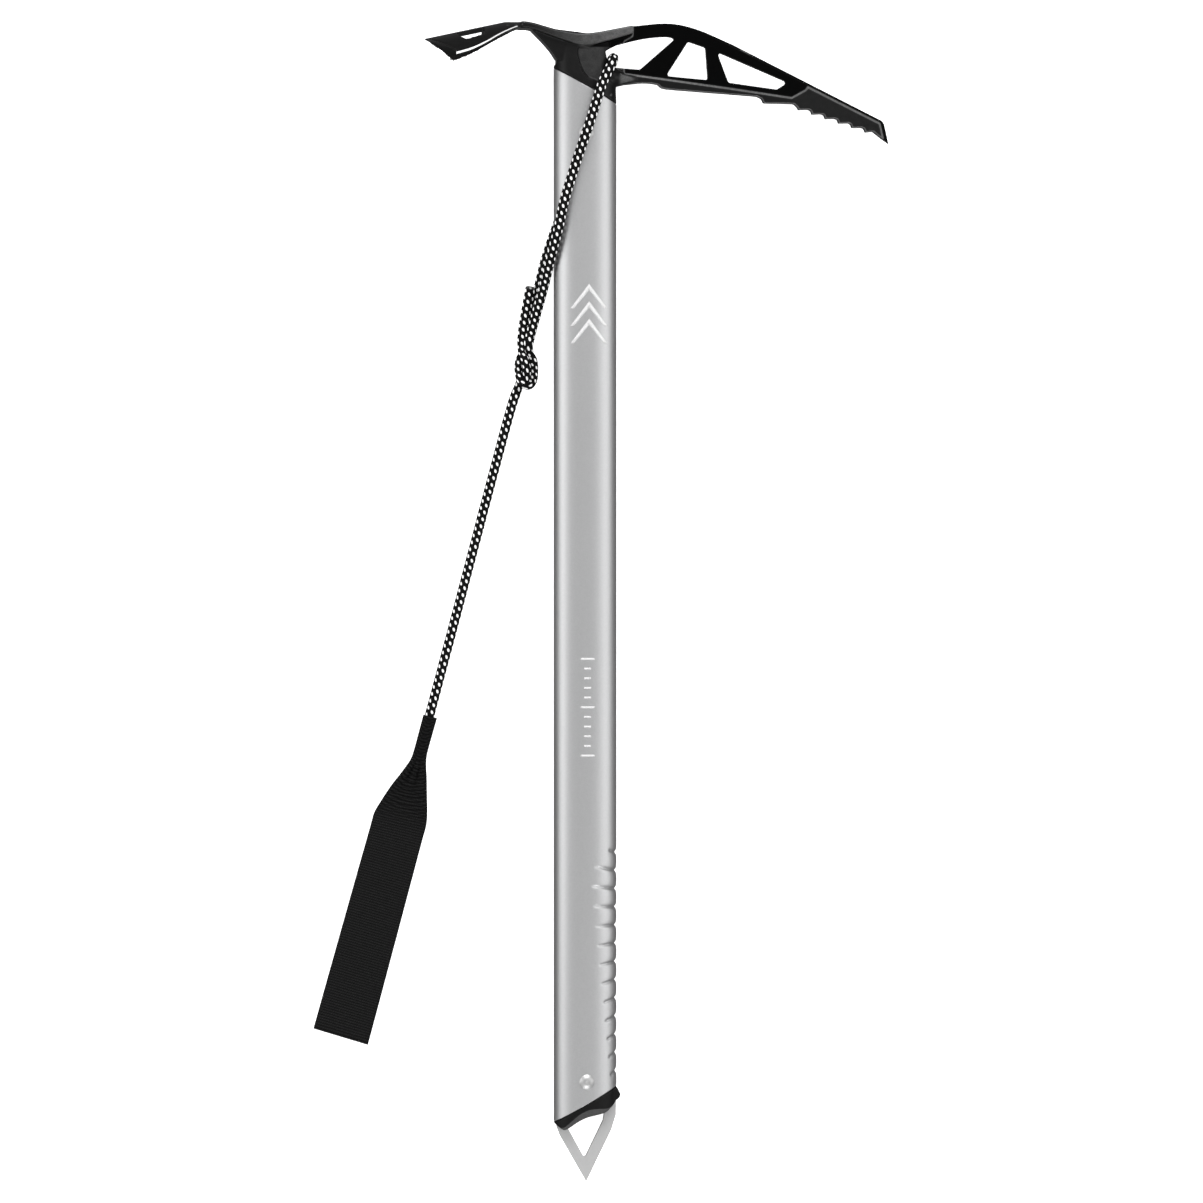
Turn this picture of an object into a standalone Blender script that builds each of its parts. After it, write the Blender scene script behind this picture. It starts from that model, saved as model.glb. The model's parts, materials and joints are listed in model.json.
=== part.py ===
"""Ice axe with a wrist leash, lying at rest on a flat floor.

The axe is modelled in its own frame, in millimetres: x towards the pick, y up the shaft
from the spike's tip, z out of the mid-plane. One empty then lays it on the floor, where it
touches at the pick's tip, one corner of the adze and the lower rivet's dome.
The leash lies on the floor and is modelled straight in world millimetres.
World origin: bottom centre of the axe's bounding box.
"""
import math

import bmesh
import bpy
from mathutils import Matrix, Vector

MM = 0.001
GAP = 0.3                                   # clearance between neighbouring solids

# Shaft: an oval tube with slanted ends
SHAFT_HALF_WIDTH = 16.3
SHAFT_HALF_DEPTH = 10.0
SHAFT_POWER = 2.2                           # 2 would be an ellipse
SHAFT_WALL = 1.5
SECTION_SIDES = 40
CUT_SLOPE = 0.567                           # both ends lean by this much per unit of x
HEAD_CUT = 567.0                            # y of the upper cut on the centre line
SPIKE_CUT = 40.4                            # y of the lower cut on the centre line

# Grip grooves on the pick side of the shaft
GROOVE_COUNT = 13
GROOVE_TOP = 171.0                          # y of the highest groove at the shaft's edge
GROOVE_PITCH = 9.5
GROOVE_HALF_HEIGHT = 2.2
GROOVE_DEPTH = 0.7
GROOVE_RAMP = 3.0
GROOVE_EDGE = 15.3                          # x where a groove meets the shaft's outline

# Rivets
RIVET_HEAD_RADIUS = 3.9
RIVET_HEAD_HEIGHT = 1.7
RIVET_SHANK_RADIUS = 2.2
RIVET_SIDES = 20
HEAD_RIVET = (0.0, 542.7)
SPIKE_RIVET = (0.0, 52.1)

# Head
PICK_HALF = 3.1
WEB_HALF = 2.3                              # the pick between its rails
PICK_TIP = (158.5, 538.1)
PICK_TIP_BEVEL = (1.9, 3.0)                 # depth on each side, and height behind the front edge
PICK_REST = (154.8, 541.0)                  # the lowest full-thickness point behind the tip's bevel
TANG_LENGTH = 62.0
PALM_HALF_WIDTH = 9.5
BOSS_TOP_HALF = 7.8
TOOTH_COUNT = 6
TOOTH_FIRST = (146.1, 544.2)
TOOTH_STEP = (-6.98, 2.3)

# Adze: an arched blade with its corners set back
ADZE_ROOT_X = -33.0
ADZE_TIP_X = -83.4
ADZE_HALF_WIDTH = 25.0
ADZE_THICK = 2.6
ADZE_EDGE_THICK = 0.9
ADZE_SET_BACK = 16.8
ADZE_HOLE = (-60.0, 8.6)                    # x, and z on each side
ADZE_HOLE_RADII = (6.2, 5.4)

# Spike and plug
SPIKE_HALF = 1.75
SPIKE_TANG_HALF = 8.0
SPIKE_TANG_TOP = 76.0
PLUG_TOP = 72.0

# Leash, in world millimetres. The strands run from the knot over the shaft's front,
# through the head's eye and back under the shaft. The tail and the lead start at the knot.
CORD_DIAMETER = 5.2
STRAND_STEP = 6.0                           # distance between the points of each tube
LEAD_STEP = 13.0
STRANDS = [
    (-66.8, 133.4, 12.0), (-65.4, 140.0, 11.4), (-62.9, 149.0, 12.6), (-58.9, 163.0, 17.8),
    (-55.9, 175.0, 23.4), (-53.3, 185.0, 27.2),
    (-50.8, 194.4, 29.0), (-48.2, 206.6, 30.3), (-42.6, 225.0, 31.7), (-36.6, 242.6, 33.3), (-33.6, 251.6, 32.9),
    (-31.0, 260.0, 32.0), (-28.6, 267.4, 31.1), (-25.9, 273.4, 29.8), (-23.3, 278.8, 27.2), (-22.7, 281.3, 22.4),
    (-23.0, 281.6, 17.3), (-23.6, 281.1, 12.2), (-24.6, 278.8, 7.8), (-26.4, 273.4, 5.4), (-28.2, 267.9, 4.2),
    (-31.4, 255.0, 3.3), (-37.2, 237.0, 2.9), (-43.4, 220.0, 2.8), (-49.4, 203.6, 2.8), (-55.0, 187.6, 2.9),
    (-58.5, 176.6, 2.9), (-61.2, 165.5, 2.8), (-63.0, 157.5, 2.8), (-64.8, 148.0, 2.8), (-66.2, 140.4, 2.8),
    (-67.0, 133.0, 3.2)]
TAIL = [(-65.8, 164.0, 6.6), (-66.8, 158.2, 7.0), (-68.4, 149.5, 6.9), (-69.7, 141.0, 7.1), (-70.3, 133.0, 7.7)]
LEAD = [(-72.4, 111.2, 3.9), (-76.4, 99.4, 2.9), (-87.0, 60.0, 2.8), (-97.5, 20.0, 2.8), (-108.0, -20.0, 2.8),
        (-118.3, -58.9, 3.0)]
KNOT_CENTRE = (-68.0, 121.9, 6.4)
KNOT_RADII = (6.2, 10.6, 6.0)
SLEEVE = [(-118.45, -59.5, 3.5), (-124.1, -80.4, 3.5)]
SLEEVE_RADIUS = 3.2
LOOP_LEFT = [(-127.2, -81.4), (-134.9, -91.6), (-145.0, -106.0), (-148.2, -114.0), (-178.4, -220.9)]
LOOP_RIGHT = [(-150.4, -229.4), (-119.9, -115.5), (-119.5, -101.0), (-120.9, -82.8)]
LOOP_LOW = 0.5
LOOP_HIGH = 5.5
LEASH_PIVOT = (-23.4, 279.0, 17.3)          # the leash swings about the vertical through the eye

COLOURS = {
    "head_steel": ((0.018, 0.018, 0.020, 1), 0.42, 1.0),
    "shaft_aluminium": ((0.60, 0.61, 0.63, 1), 0.34, 1.0),
    "rivet_steel": ((0.70, 0.70, 0.70, 1), 0.25, 1.0),
    "spike_steel": ((0.62, 0.62, 0.61, 1), 0.38, 1.0),
    "plug_plastic": ((0.015, 0.015, 0.016, 1), 0.50, 0.0),
    "cord": ((0.03, 0.03, 0.03, 1), 0.85, 0.0),
    "webbing": ((0.02, 0.02, 0.02, 1), 0.90, 0.0),
}


def material(name):
    """One Principled material for one object."""
    colour, roughness, metallic = COLOURS[name]
    made = bpy.data.materials.new(name)
    made.use_nodes = True
    shader = made.node_tree.nodes["Principled BSDF"]
    shader.inputs["Base Color"].default_value = colour
    shader.inputs["Roughness"].default_value = roughness
    shader.inputs["Metallic"].default_value = metallic
    made.diffuse_color = colour
    return made


def add_object(name, data, slot=None, parent=None):
    """Links an object. With no slot it is a guide for a Boolean and is left out."""
    made = bpy.data.objects.new(name, data)
    bpy.context.collection.objects.link(made)
    made.parent = parent
    if slot:
        data.materials.append(material(slot))
    else:
        made.hide_render = True
        made.display_type = "WIRE"
    return made


def mesh_from(name, shell):
    """Turns a bmesh in millimetres into a mesh in metres, with its faces pointing out."""
    bmesh.ops.recalc_face_normals(shell, faces=shell.faces)
    bmesh.ops.scale(shell, vec=(MM, MM, MM), verts=shell.verts)
    made = bpy.data.meshes.new(name)
    shell.to_mesh(made)
    shell.free()
    return made


def boolean(target, guide, operation):
    """Adds one exact Boolean to the target."""
    step = target.modifiers.new(guide.name, "BOOLEAN")
    step.operation = operation
    step.solver = "EXACT"
    step.object = guide


def smooth_through(points, steps):
    """A Catmull-Rom curve through the points, ends included."""
    points = [Vector(point) for point in points]
    padded = [2 * points[0] - points[1]] + points + [2 * points[-1] - points[-2]]
    curve = []
    for index in range(len(points) - 1):
        before, start, end, after = padded[index:index + 4]
        for step in range(steps):
            t = step / steps
            curve.append(0.5 * (2 * start + (end - before) * t
                                + (2 * before - 5 * start + 4 * end - after) * t ** 2
                                + (3 * start - before - 3 * end + after) * t ** 3))
    curve.append(points[-1])
    return curve


def rounded(corners, radius, steps=4):
    """The outline with an arc of the given radius in place of each corner."""
    outline = []
    count = len(corners)
    for index in range(count):
        corner = Vector(corners[index])
        to_last = (Vector(corners[index - 1]) - corner).normalized()
        to_next = (Vector(corners[(index + 1) % count]) - corner).normalized()
        half = to_last.angle(to_next) / 2
        reach = radius / math.tan(half)
        centre = corner + (to_last + to_next).normalized() * radius / math.sin(half)
        start = corner + to_last * reach - centre
        end = corner + to_next * reach - centre
        for step in range(steps + 1):
            outline.append(centre + start.slerp(end, step / steps))
    return outline


def slab(name, outline, low, high, slot=None, parent=None):
    """A prism of the outline between two heights z."""
    shell = bmesh.new()
    rings = []
    for z in (low, high):
        rings.append([shell.verts.new((point[0], point[1], z)) for point in outline])
    shell.faces.new(rings[0])
    shell.faces.new(rings[1])
    bmesh.ops.bridge_loops(shell, edges=[e for e in shell.edges])
    return add_object(name, mesh_from(name, shell), slot, parent)


def oval(half_width, half_depth, sides=SECTION_SIDES):
    """Points (x, z) of the shaft's kind of oval."""
    points = []
    for index in range(sides):
        angle = math.tau * index / sides
        across = math.cos(angle)
        out = math.sin(angle)
        x = half_width * math.copysign(abs(across) ** (2 / SHAFT_POWER), across)
        z = half_depth * math.copysign(abs(out) ** (2 / SHAFT_POWER), out)
        points.append((x, z))
    return points


def stacked_rings(name, rings, closed_tube=False, slot=None, parent=None):
    """Joins equal rings of points in order, capped at its ends or closed on itself."""
    shell = bmesh.new()
    loops = [[shell.verts.new(point) for point in ring] for ring in rings]
    pairs = list(zip(loops, loops[1:]))
    if closed_tube:
        pairs.append((loops[-1], loops[0]))
    for lower, upper in pairs:
        count = len(lower)
        for index in range(count):
            after = (index + 1) % count
            shell.faces.new((lower[index], lower[after], upper[after], upper[index]))
    if not closed_tube:
        shell.faces.new(loops[0])
        shell.faces.new(loops[-1])
    return add_object(name, mesh_from(name, shell), slot, parent)


def oval_prism(name, half_width, half_depth, low, high, slot=None, parent=None, top_depth=None):
    """An oval bar along y. low and high are functions of x; top_depth is its half-depth at the top."""
    rings = [[(x, low(x), z) for x, z in oval(half_width, half_depth)]]
    rings.append([(x, high(x), z) for x, z in oval(half_width, top_depth or half_depth)])
    return stacked_rings(name, rings, slot=slot, parent=parent)


def upright_cylinder(name, centre, radius_x, radius_y, half_length, sides=24):
    """A guide for a hole along z."""
    outline = []
    for index in range(sides):
        angle = math.tau * index / sides
        outline.append((centre[0] + radius_x * math.cos(angle),
                        centre[1] + radius_y * math.sin(angle)))
    return slab(name, outline, -half_length, half_length)


def head_cut(x):
    return HEAD_CUT - CUT_SLOPE * x


def spike_cut(x):
    return SPIKE_CUT + CUT_SLOPE * x


def groove_line(number):
    """A groove's inner end and its end at the shaft's edge, as two (x, y) points.

    The grooves reach furthest in near the top, and turn slowly as they go down.
    """
    edge_y = GROOVE_TOP - GROOVE_PITCH * number
    reach = 13.0 * math.exp(-((number - 2.5) / 6.2) ** 2)
    if number in (0, GROOVE_COUNT - 1):
        reach = 3.2
    tilt = 0.16 - 0.045 * number
    inner_x = GROOVE_EDGE - reach
    return (inner_x, edge_y + tilt * reach), (GROOVE_EDGE, edge_y)


def shaft_row(number, part):
    """One ring of the outer skin at a groove. part -1 is its lower lip, 0 its bottom, 1 its upper lip."""
    inner, edge = groove_line(number)
    ring = []
    for x, z in oval(SHAFT_HALF_WIDTH, SHAFT_HALF_DEPTH):
        along = min(max((x - inner[0]) / (edge[0] - inner[0]), 0), 1)
        y = inner[1] + (edge[1] - inner[1]) * along + part * GROOVE_HALF_HEIGHT
        ramp = min(max((x - inner[0]) / GROOVE_RAMP, 0), 1)
        depth = GROOVE_DEPTH * ramp if part == 0 else 0
        length = math.hypot(x, z)
        ring.append((x * (1 - depth / length), y, z * (1 - depth / length)))
    return ring


def make_shaft(parent):
    outside = oval(SHAFT_HALF_WIDTH, SHAFT_HALF_DEPTH)
    inside = oval(SHAFT_HALF_WIDTH - SHAFT_WALL, SHAFT_HALF_DEPTH - SHAFT_WALL)
    rings = [[(x, spike_cut(x), z) for x, z in outside]]
    for number in reversed(range(GROOVE_COUNT)):
        for part in (-1, 0, 1):
            rings.append(shaft_row(number, part))
    rings.append([(x, head_cut(x), z) for x, z in outside])
    rings.append([(x, head_cut(x), z) for x, z in inside])
    rings.append([(x, spike_cut(x), z) for x, z in inside])
    shaft = stacked_rings("shaft", rings, True, "shaft_aluminium", parent)
    for name, centre in (("shaft_head_hole", HEAD_RIVET), ("shaft_spike_hole", SPIKE_RIVET)):
        radius = RIVET_SHANK_RADIUS + GAP
        hole = upright_cylinder(name, centre, radius, radius, 30, RIVET_SIDES)
        hole.parent = parent
        boolean(shaft, hole, "DIFFERENCE")
    return shaft


def make_rivet(name, centre, parent):
    """A turned rivet along z with a domed head on each face of the shaft."""
    seat = SHAFT_HALF_DEPTH + GAP
    profile = [(RIVET_SHANK_RADIUS, 0.0), (RIVET_SHANK_RADIUS, seat), (RIVET_HEAD_RADIUS, seat)]
    for step in range(1, 5):
        angle = math.pi / 2 * step / 4
        profile.append((RIVET_HEAD_RADIUS * math.cos(angle) + 0.02,
                        seat + 0.3 + (RIVET_HEAD_HEIGHT - 0.3) * math.sin(angle)))
    full = [(radius, -z) for radius, z in reversed(profile[1:])] + profile
    rings = []
    for radius, z in full:
        ring = []
        for index in range(RIVET_SIDES):
            angle = math.tau * index / RIVET_SIDES
            ring.append((centre[0] + radius * math.cos(angle), centre[1] + radius * math.sin(angle), z))
        rings.append(ring)
    rivet = stacked_rings(name, rings, slot="rivet_steel", parent=parent)
    rivet.data.shade_smooth()
    rivet.data.set_sharp_from_angle(angle=math.radians(40))
    return rivet


def pick_outline():
    """Side view of the pick, from inside the boss out along its top edge and back below."""
    top = [(8, 594.0)] + smooth_through([(23.7, 598.4), (43, 600.0), (58, 597.1), (76.6, 589.4)], 4)
    nose = [(154.9, 550.3), (156.1, 548.7), PICK_TIP, (150.1, 544.7)]
    teeth = []
    for number in range(TOOTH_COUNT):
        tip = Vector(TOOTH_FIRST) + number * Vector(TOOTH_STEP)
        teeth.append(tip)
        if number == TOOTH_COUNT - 1:
            break
        teeth.append(tip + Vector((-0.15, 1.25)))
        teeth.append(tip + Vector((-0.95, 2.2)))
        teeth.append(tip + Vector((-2.1, 2.5)))
    heel = [(110.7, 556.9), (109.2, 558.3), (107.4, 558.8), (92.9, 559.0), (91.9, 561.3), (89.3, 562.5)]
    rail = [(57.6, 564.8), (41.2, 566.2), (37.5, 568.3), (31.1, 569.0), (23.7, 568.6), (8, 566.5)]
    return top + nose + teeth + heel + rail


def windows():
    """The three openings between the boss and the solid part of the pick."""
    eye = smooth_through([(16.3, 588.6), (30, 591.9), (41.5, 593.1), (46.8, 592.2)], 3)
    eye += rounded([(47.3, 591.8), (28.5, 575.6), (11.4, 576.8), (9.4, 586.0)], 1.2)[5:]
    middle = rounded([(53.6, 590.6), (62.5, 587.6), (63.8, 571.0), (42.2, 572.9)], 0.8)
    front = rounded([(68.7, 585.4), (105.3, 569.9), (99.8, 566.3), (74.6, 569.7)], 0.8)
    return (("head_eye_guide", eye), ("middle_window_guide", middle), ("front_window_guide", front))


def pocket_outline():
    """The region where the pick is thinner: struts and upper rail, above the lower rail."""
    return [(20, 574.2), (41.7, 571.4), (76.6, 566.7), (107.4, 562.3), (114.5, 566.2), (118.5, 573.0),
            (76.6, 592.0), (58, 601.0), (43, 604.0), (25.0, 602.0), (24.4, 593.0), (20, 590.5)]


def chamfer_guide(name, start, end, depth, height, side):
    """A wedge that bevels the pick's edge from start to end on one side (+1 or -1) in z."""
    run = (Vector(end) - Vector(start)).normalized()
    out = Vector((-run.y, run.x))
    rings = []
    for point in (Vector(start) - run * 4, Vector(end) + run * 4):
        ring = []
        for away, z in ((-height, PICK_HALF), (4, PICK_HALF - depth * (4 + height) / height), (4, PICK_HALF + 6),
                        (-height, PICK_HALF + 6)):
            place = point + out * away
            ring.append((place.x, place.y, side * z))
        rings.append(ring)
    return stacked_rings(name, rings)


def adze_crest(x):
    """Height of the adze's ridge in the mid-plane."""
    if x > -41.7:
        return 600.3
    return 600.3 + (x + 41.7) * 0.216


def adze_half_width(x):
    """Half-width in plan: narrow at the neck, full from the middle outwards."""
    along = min(max((ADZE_ROOT_X - x) / 33.0, 0), 1)
    return PALM_HALF_WIDTH + (ADZE_HALF_WIDTH - PALM_HALF_WIDTH) * math.sin(along * math.pi / 2)


def make_adze(name, columns=10, half_rows=6):
    """The arched blade. Its corners are set back, so its edge reads as one straight slanted line."""
    stations = []
    for row in range(-half_rows, half_rows + 1):
        across = row / half_rows
        tip_x = ADZE_TIP_X + ADZE_SET_BACK * abs(across) ** 1.5
        stations.append((across, tip_x))
    rings = []
    for column in range(columns + 1):
        along = column / columns
        upper = []
        lower = []
        for across, tip_x in stations:
            x = ADZE_ROOT_X + (tip_x - ADZE_ROOT_X) * along
            drop = 0.3 + max(-38.9 - x, 0) * 0.31
            z = adze_half_width(x) * across
            y = adze_crest(x) - drop * across ** 2
            thick = ADZE_THICK + (ADZE_EDGE_THICK - ADZE_THICK) * max(along - 0.8, 0) / 0.2
            if x > -40:
                thick += (x + 40) * 0.16
            upper.append((x, y, z))
            lower.append((x, y - thick, z))
        rings.append(upper + lower[::-1])
    return stacked_rings(name, rings)


def make_head(parent):
    """The forging: pick, boss, palm rest, adze and tang, joined and then cut."""
    guides = []
    head = slab("head", pick_outline(), -PICK_HALF, PICK_HALF, "head_steel", parent)

    collar = oval_prism("collar_guide", SHAFT_HALF_WIDTH, SHAFT_HALF_DEPTH,
                        lambda x: head_cut(x) + GAP, lambda x: 592.0, top_depth=BOSS_TOP_HALF)
    side = [(-16.5, 570.0), (-16.3, 577.6), (-15.2, 578.8), (-15.2, 581.0), (-17, 584), (-17, 600),
            (11.0, 600.0), (13.6, 580.0), (16.4, 574.0), (15.8, 565.0), (16.8, 550.0), (0, 550)]
    collar_side = slab("collar_side_guide", side, -20, 20)
    boolean(collar, collar_side, "INTERSECT")
    guides += [collar, collar_side]

    gusset = [(-28.9, 598.0), (-28.9, 596.8)]
    gusset += smooth_through([(-26.9, 594.7), (-21.8, 589.5), (-17.8, 584.8), (-15.2, 580.8)], 2)
    gusset += [(-10, 579), (4, 588), (4, 594)]
    guides.append(slab("gusset_guide", gusset, -6.5, 6.5))

    palm_top = smooth_through([(-34, 600.3), (-28, 599.6), (-13, 595.6), (1, 594.3), (24.2, 598.5)], 4)
    palm_low = [(24.2, 594.4), (10.5, 590.3), (-1.0, 588.0), (-14, 591.4), (-28, 596.2), (-34, 596.6)]
    guides.append(slab("palm_guide", palm_top + palm_low, -PALM_HALF_WIDTH, PALM_HALF_WIDTH))

    arm = []
    for x, y, tall, deep in ((6, 572.5, 6.0, 8.6), (15, 571.8, 5.0, 7.2), (20, 571.2, 3.3, 5.2), (27, 570.9, 2.2, 3.4)):
        ring = []
        for index in range(16):
            angle = math.tau * index / 16
            ring.append((x, y + tall * math.cos(angle), deep * math.sin(angle)))
        arm.append(ring)
    guides.append(stacked_rings("arm_guide", arm))
    guides.append(make_adze("adze_guide"))

    tang_depth = SHAFT_HALF_DEPTH - SHAFT_WALL - GAP
    tang_width = SHAFT_HALF_WIDTH - SHAFT_WALL - GAP
    guides.append(oval_prism("tang_guide", tang_width, tang_depth,
                             lambda x: HEAD_CUT - TANG_LENGTH, lambda x: head_cut(x) + 5))
    for guide in guides:
        guide.parent = parent
        if guide is not collar_side:
            boolean(head, guide, "UNION")

    cuts = [slab(name, outline, -30, 30) for name, outline in windows()]
    for side in (-1, 1):
        low, high = sorted((side * WEB_HALF, side * 12.0))
        cuts.append(slab(f"pocket_guide_{side}", pocket_outline(), low, high))
        facet = [(-4.6, 587.0), (-4.4, 582.3), (-2.3, 575.7), (0.4, 571.7), (6, 569.3), (9, 569.3), (9, 587.2)]
        low, high = sorted((side * 8.9, side * 14.0))
        cuts.append(slab(f"facet_guide_{side}", facet, low, high))
        cuts.append(chamfer_guide(f"top_chamfer_guide_{side}", (64, 595.5), (154.9, 550.3), 1.3, 2.6, side))
        cuts.append(chamfer_guide(f"tip_chamfer_guide_{side}", (156.1, 548.7), PICK_TIP, *PICK_TIP_BEVEL, side))
        hole = upright_cylinder(f"adze_hole_guide_{side}", (0, 0), *ADZE_HOLE_RADII, 30, 16)
        hole.rotation_euler = (math.radians(90), 0, 0)
        hole.location = (ADZE_HOLE[0] * MM, 595 * MM, side * ADZE_HOLE[1] * MM)
        cuts.append(hole)
    radius = RIVET_SHANK_RADIUS + GAP
    cuts.append(upright_cylinder("tang_hole_guide", HEAD_RIVET, radius, radius, 30, RIVET_SIDES))
    for guide in cuts:
        guide.parent = parent
        boolean(head, guide, "DIFFERENCE")
    return head


def spike_outline():
    """The point with its shoulders and its tang, without the hole."""
    left = [(0.5, 0.0), (-13.0, 23.6), (-14.9, 28.5), (-14.0, 33.0), (-SPIKE_TANG_HALF, 40.0),
            (-SPIKE_TANG_HALF, SPIKE_TANG_TOP)]
    right = [(SPIKE_TANG_HALF, SPIKE_TANG_TOP), (SPIKE_TANG_HALF, 52.0), (14.6, 47.0), (16.0, 43.0),
             (15.9, 34.5), (13.5, 26.7)]
    return left + right


def make_spike(parent):
    spike = slab("spike", spike_outline(), -SPIKE_HALF, SPIKE_HALF, "spike_steel", parent)
    hole = rounded([(-0.4, 12.2), (9.0, 31.5), (9.8, 37.2), (0.6, 34.6), (-9.4, 28.6)], 0.7)
    guides = [slab("spike_hole_guide", hole, -10, 10)]
    radius = RIVET_SHANK_RADIUS + GAP
    guides.append(upright_cylinder("spike_rivet_guide", SPIKE_RIVET, radius, radius, 30, RIVET_SIDES))
    for guide in guides:
        guide.parent = parent
        boolean(spike, guide, "DIFFERENCE")
    return spike


def make_plug(parent):
    """The end plug: a shoulder as wide as the tube, and an insert inside it."""
    plug = oval_prism("spike_plug", SHAFT_HALF_WIDTH, SHAFT_HALF_DEPTH,
                      lambda x: 20.0, lambda x: spike_cut(x) - GAP, "plug_plastic", parent)
    low_edge = smooth_through([(-16.6, 31.0), (-14.5, 28.8), (-11.4, 26.9), (-8.3, 28.2), (-3.6, 31.3), (1, 33.4),
                               (5.7, 34.5), (10.4, 36.0), (13.5, 39.1), (16.8, 43.0)], 2)
    side = slab("plug_side_guide", low_edge + [(16.8, 60.0), (-16.6, 60.0)], -20, 20)
    insert = oval_prism("plug_insert_guide", SHAFT_HALF_WIDTH - SHAFT_WALL - GAP,
                        SHAFT_HALF_DEPTH - SHAFT_WALL - GAP, lambda x: spike_cut(x) - 2.5, lambda x: PLUG_TOP)
    grown = []
    centre = Vector((0, 40))
    for point in spike_outline():
        away = Vector(point) - centre
        grown.append(Vector(point) + away.normalized() * GAP * 1.6)
    slot = slab("plug_slot_guide", grown, -SPIKE_HALF - GAP, SPIKE_HALF + GAP)
    radius = RIVET_SHANK_RADIUS + GAP
    hole = upright_cylinder("plug_hole_guide", SPIKE_RIVET, radius, radius, 30, RIVET_SIDES)
    steps = ((side, "INTERSECT"), (insert, "UNION"), (slot, "DIFFERENCE"), (hole, "DIFFERENCE"))
    for guide, operation in steps:
        guide.parent = parent
        boolean(plug, guide, operation)
    return plug


def rest_rotation():
    """The turn that puts the pick's tip, the adze's corner and the lower rivet's dome on one level."""
    corner_x = ADZE_TIP_X + ADZE_SET_BACK
    drop = 0.3 + (-38.9 - corner_x) * 0.31
    corner_y = adze_crest(corner_x) - drop - ADZE_EDGE_THICK
    corner = Vector((corner_x, corner_y, -ADZE_HALF_WIDTH))
    tip = Vector((*PICK_REST, -PICK_HALF))
    heel = Vector((*SPIKE_RIVET, -SHAFT_HALF_DEPTH - GAP - RIVET_HEAD_HEIGHT))
    up = (tip - heel).cross(corner - heel).normalized()
    head_way = (Vector((0, 1, 0)) - up * up.y).normalized()
    pick_way = head_way.cross(up)
    return Matrix((pick_way, head_way, up)).to_4x4()


def resample(points, step):
    """Points about one step apart along a smooth curve through the given ones."""
    fine = smooth_through(points, 24)
    travelled = [0.0]
    for start, end in zip(fine, fine[1:]):
        travelled.append(travelled[-1] + (end - start).length)
    count = max(round(travelled[-1] / step), 2)
    even = []
    index = 0
    for number in range(count + 1):
        goal = travelled[-1] * number / count
        while index < len(fine) - 2 and travelled[index + 1] < goal:
            index += 1
        share = (goal - travelled[index]) / (travelled[index + 1] - travelled[index])
        even.append(fine[index].lerp(fine[index + 1], min(share, 1.0)))
    return even


def tube(name, points, radius, slot, pivot, sides_level=2):
    """A round tube through the points, as a curve. pivot is the empty that it swings with."""
    curve = bpy.data.curves.new(name, "CURVE")
    curve.dimensions = "3D"
    curve.bevel_depth = radius * MM
    curve.bevel_resolution = sides_level
    curve.use_fill_caps = True
    spline = curve.splines.new("POLY")
    spline.points.add(len(points) - 1)
    for place, point in zip(spline.points, points):
        place.co = (*((Vector(point) - Vector(LEASH_PIVOT)) * MM), 1)
    return add_object(name, curve, slot, pivot)


def make_leash(pivot):
    """The cord's stretches, its knot, the sleeve and the folded wrist loop."""
    tube("leash_cord_strands", resample(STRANDS, STRAND_STEP), CORD_DIAMETER / 2, "cord", pivot)
    tube("leash_cord_tail", resample(TAIL, STRAND_STEP), CORD_DIAMETER / 2, "cord", pivot)
    tube("leash_cord_lead", resample(LEAD, LEAD_STEP), CORD_DIAMETER / 2, "cord", pivot)
    tube("leash_sleeve", SLEEVE, SLEEVE_RADIUS, "webbing", pivot, 3)

    shell = bmesh.new()
    bmesh.ops.create_uvsphere(shell, u_segments=20, v_segments=12, radius=1)
    bmesh.ops.scale(shell, vec=KNOT_RADII, verts=shell.verts)
    away = [centre - hinge for centre, hinge in zip(KNOT_CENTRE, LEASH_PIVOT)]
    bmesh.ops.translate(shell, vec=away, verts=shell.verts)
    add_object("leash_knot", mesh_from("leash_knot", shell), "cord", pivot)

    outline = [(x - LEASH_PIVOT[0], y - LEASH_PIVOT[1]) for x, y in LOOP_LEFT + LOOP_RIGHT]
    slab("wrist_loop", outline, LOOP_LOW - LEASH_PIVOT[2], LOOP_HIGH - LEASH_PIVOT[2], "webbing", pivot)


def settle(axe, pieces):
    """Moves the axe so that the bottom centre of its box is the origin."""
    bpy.context.view_layer.update()
    depsgraph = bpy.context.evaluated_depsgraph_get()
    corners = []
    for piece in pieces:
        solid = piece.evaluated_get(depsgraph)
        corners += [solid.matrix_world @ vertex.co for vertex in solid.data.vertices]
    low = Vector([min(corner[axis] for corner in corners) for axis in range(3)])
    high = Vector([max(corner[axis] for corner in corners) for axis in range(3)])
    axe.location -= Vector(((low.x + high.x) / 2, (low.y + high.y) / 2, low.z))
    bpy.context.view_layer.update()


def main():
    for old in list(bpy.data.objects):
        bpy.data.objects.remove(old, do_unlink=True)
    axe = bpy.data.objects.new("axe_at_rest", None)
    bpy.context.collection.objects.link(axe)
    axe.matrix_world = rest_rotation()
    pieces = [make_shaft(axe), make_head(axe), make_spike(axe), make_plug(axe),
              make_rivet("head_rivet", HEAD_RIVET, axe), make_rivet("spike_rivet", SPIKE_RIVET, axe)]
    settle(axe, pieces)
    pivot = bpy.data.objects.new("leash_pivot", None)
    bpy.context.collection.objects.link(pivot)
    pivot.location = [value * MM for value in LEASH_PIVOT]
    make_leash(pivot)
    bpy.context.view_layer.update()


main()
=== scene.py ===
"""Looks of the ice axe: the fine surfaces and the materials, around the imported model.

The axe's pieces are built in its own frame, in millimetres: x towards the pick, y up the shaft
from the spike's tip, z out of the mid-plane. axe_place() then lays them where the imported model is.
The leash is built in the row frame, also in millimetres.
"""
import json
import math

import bmesh
import bpy
from mathutils import Matrix, Vector


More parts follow.
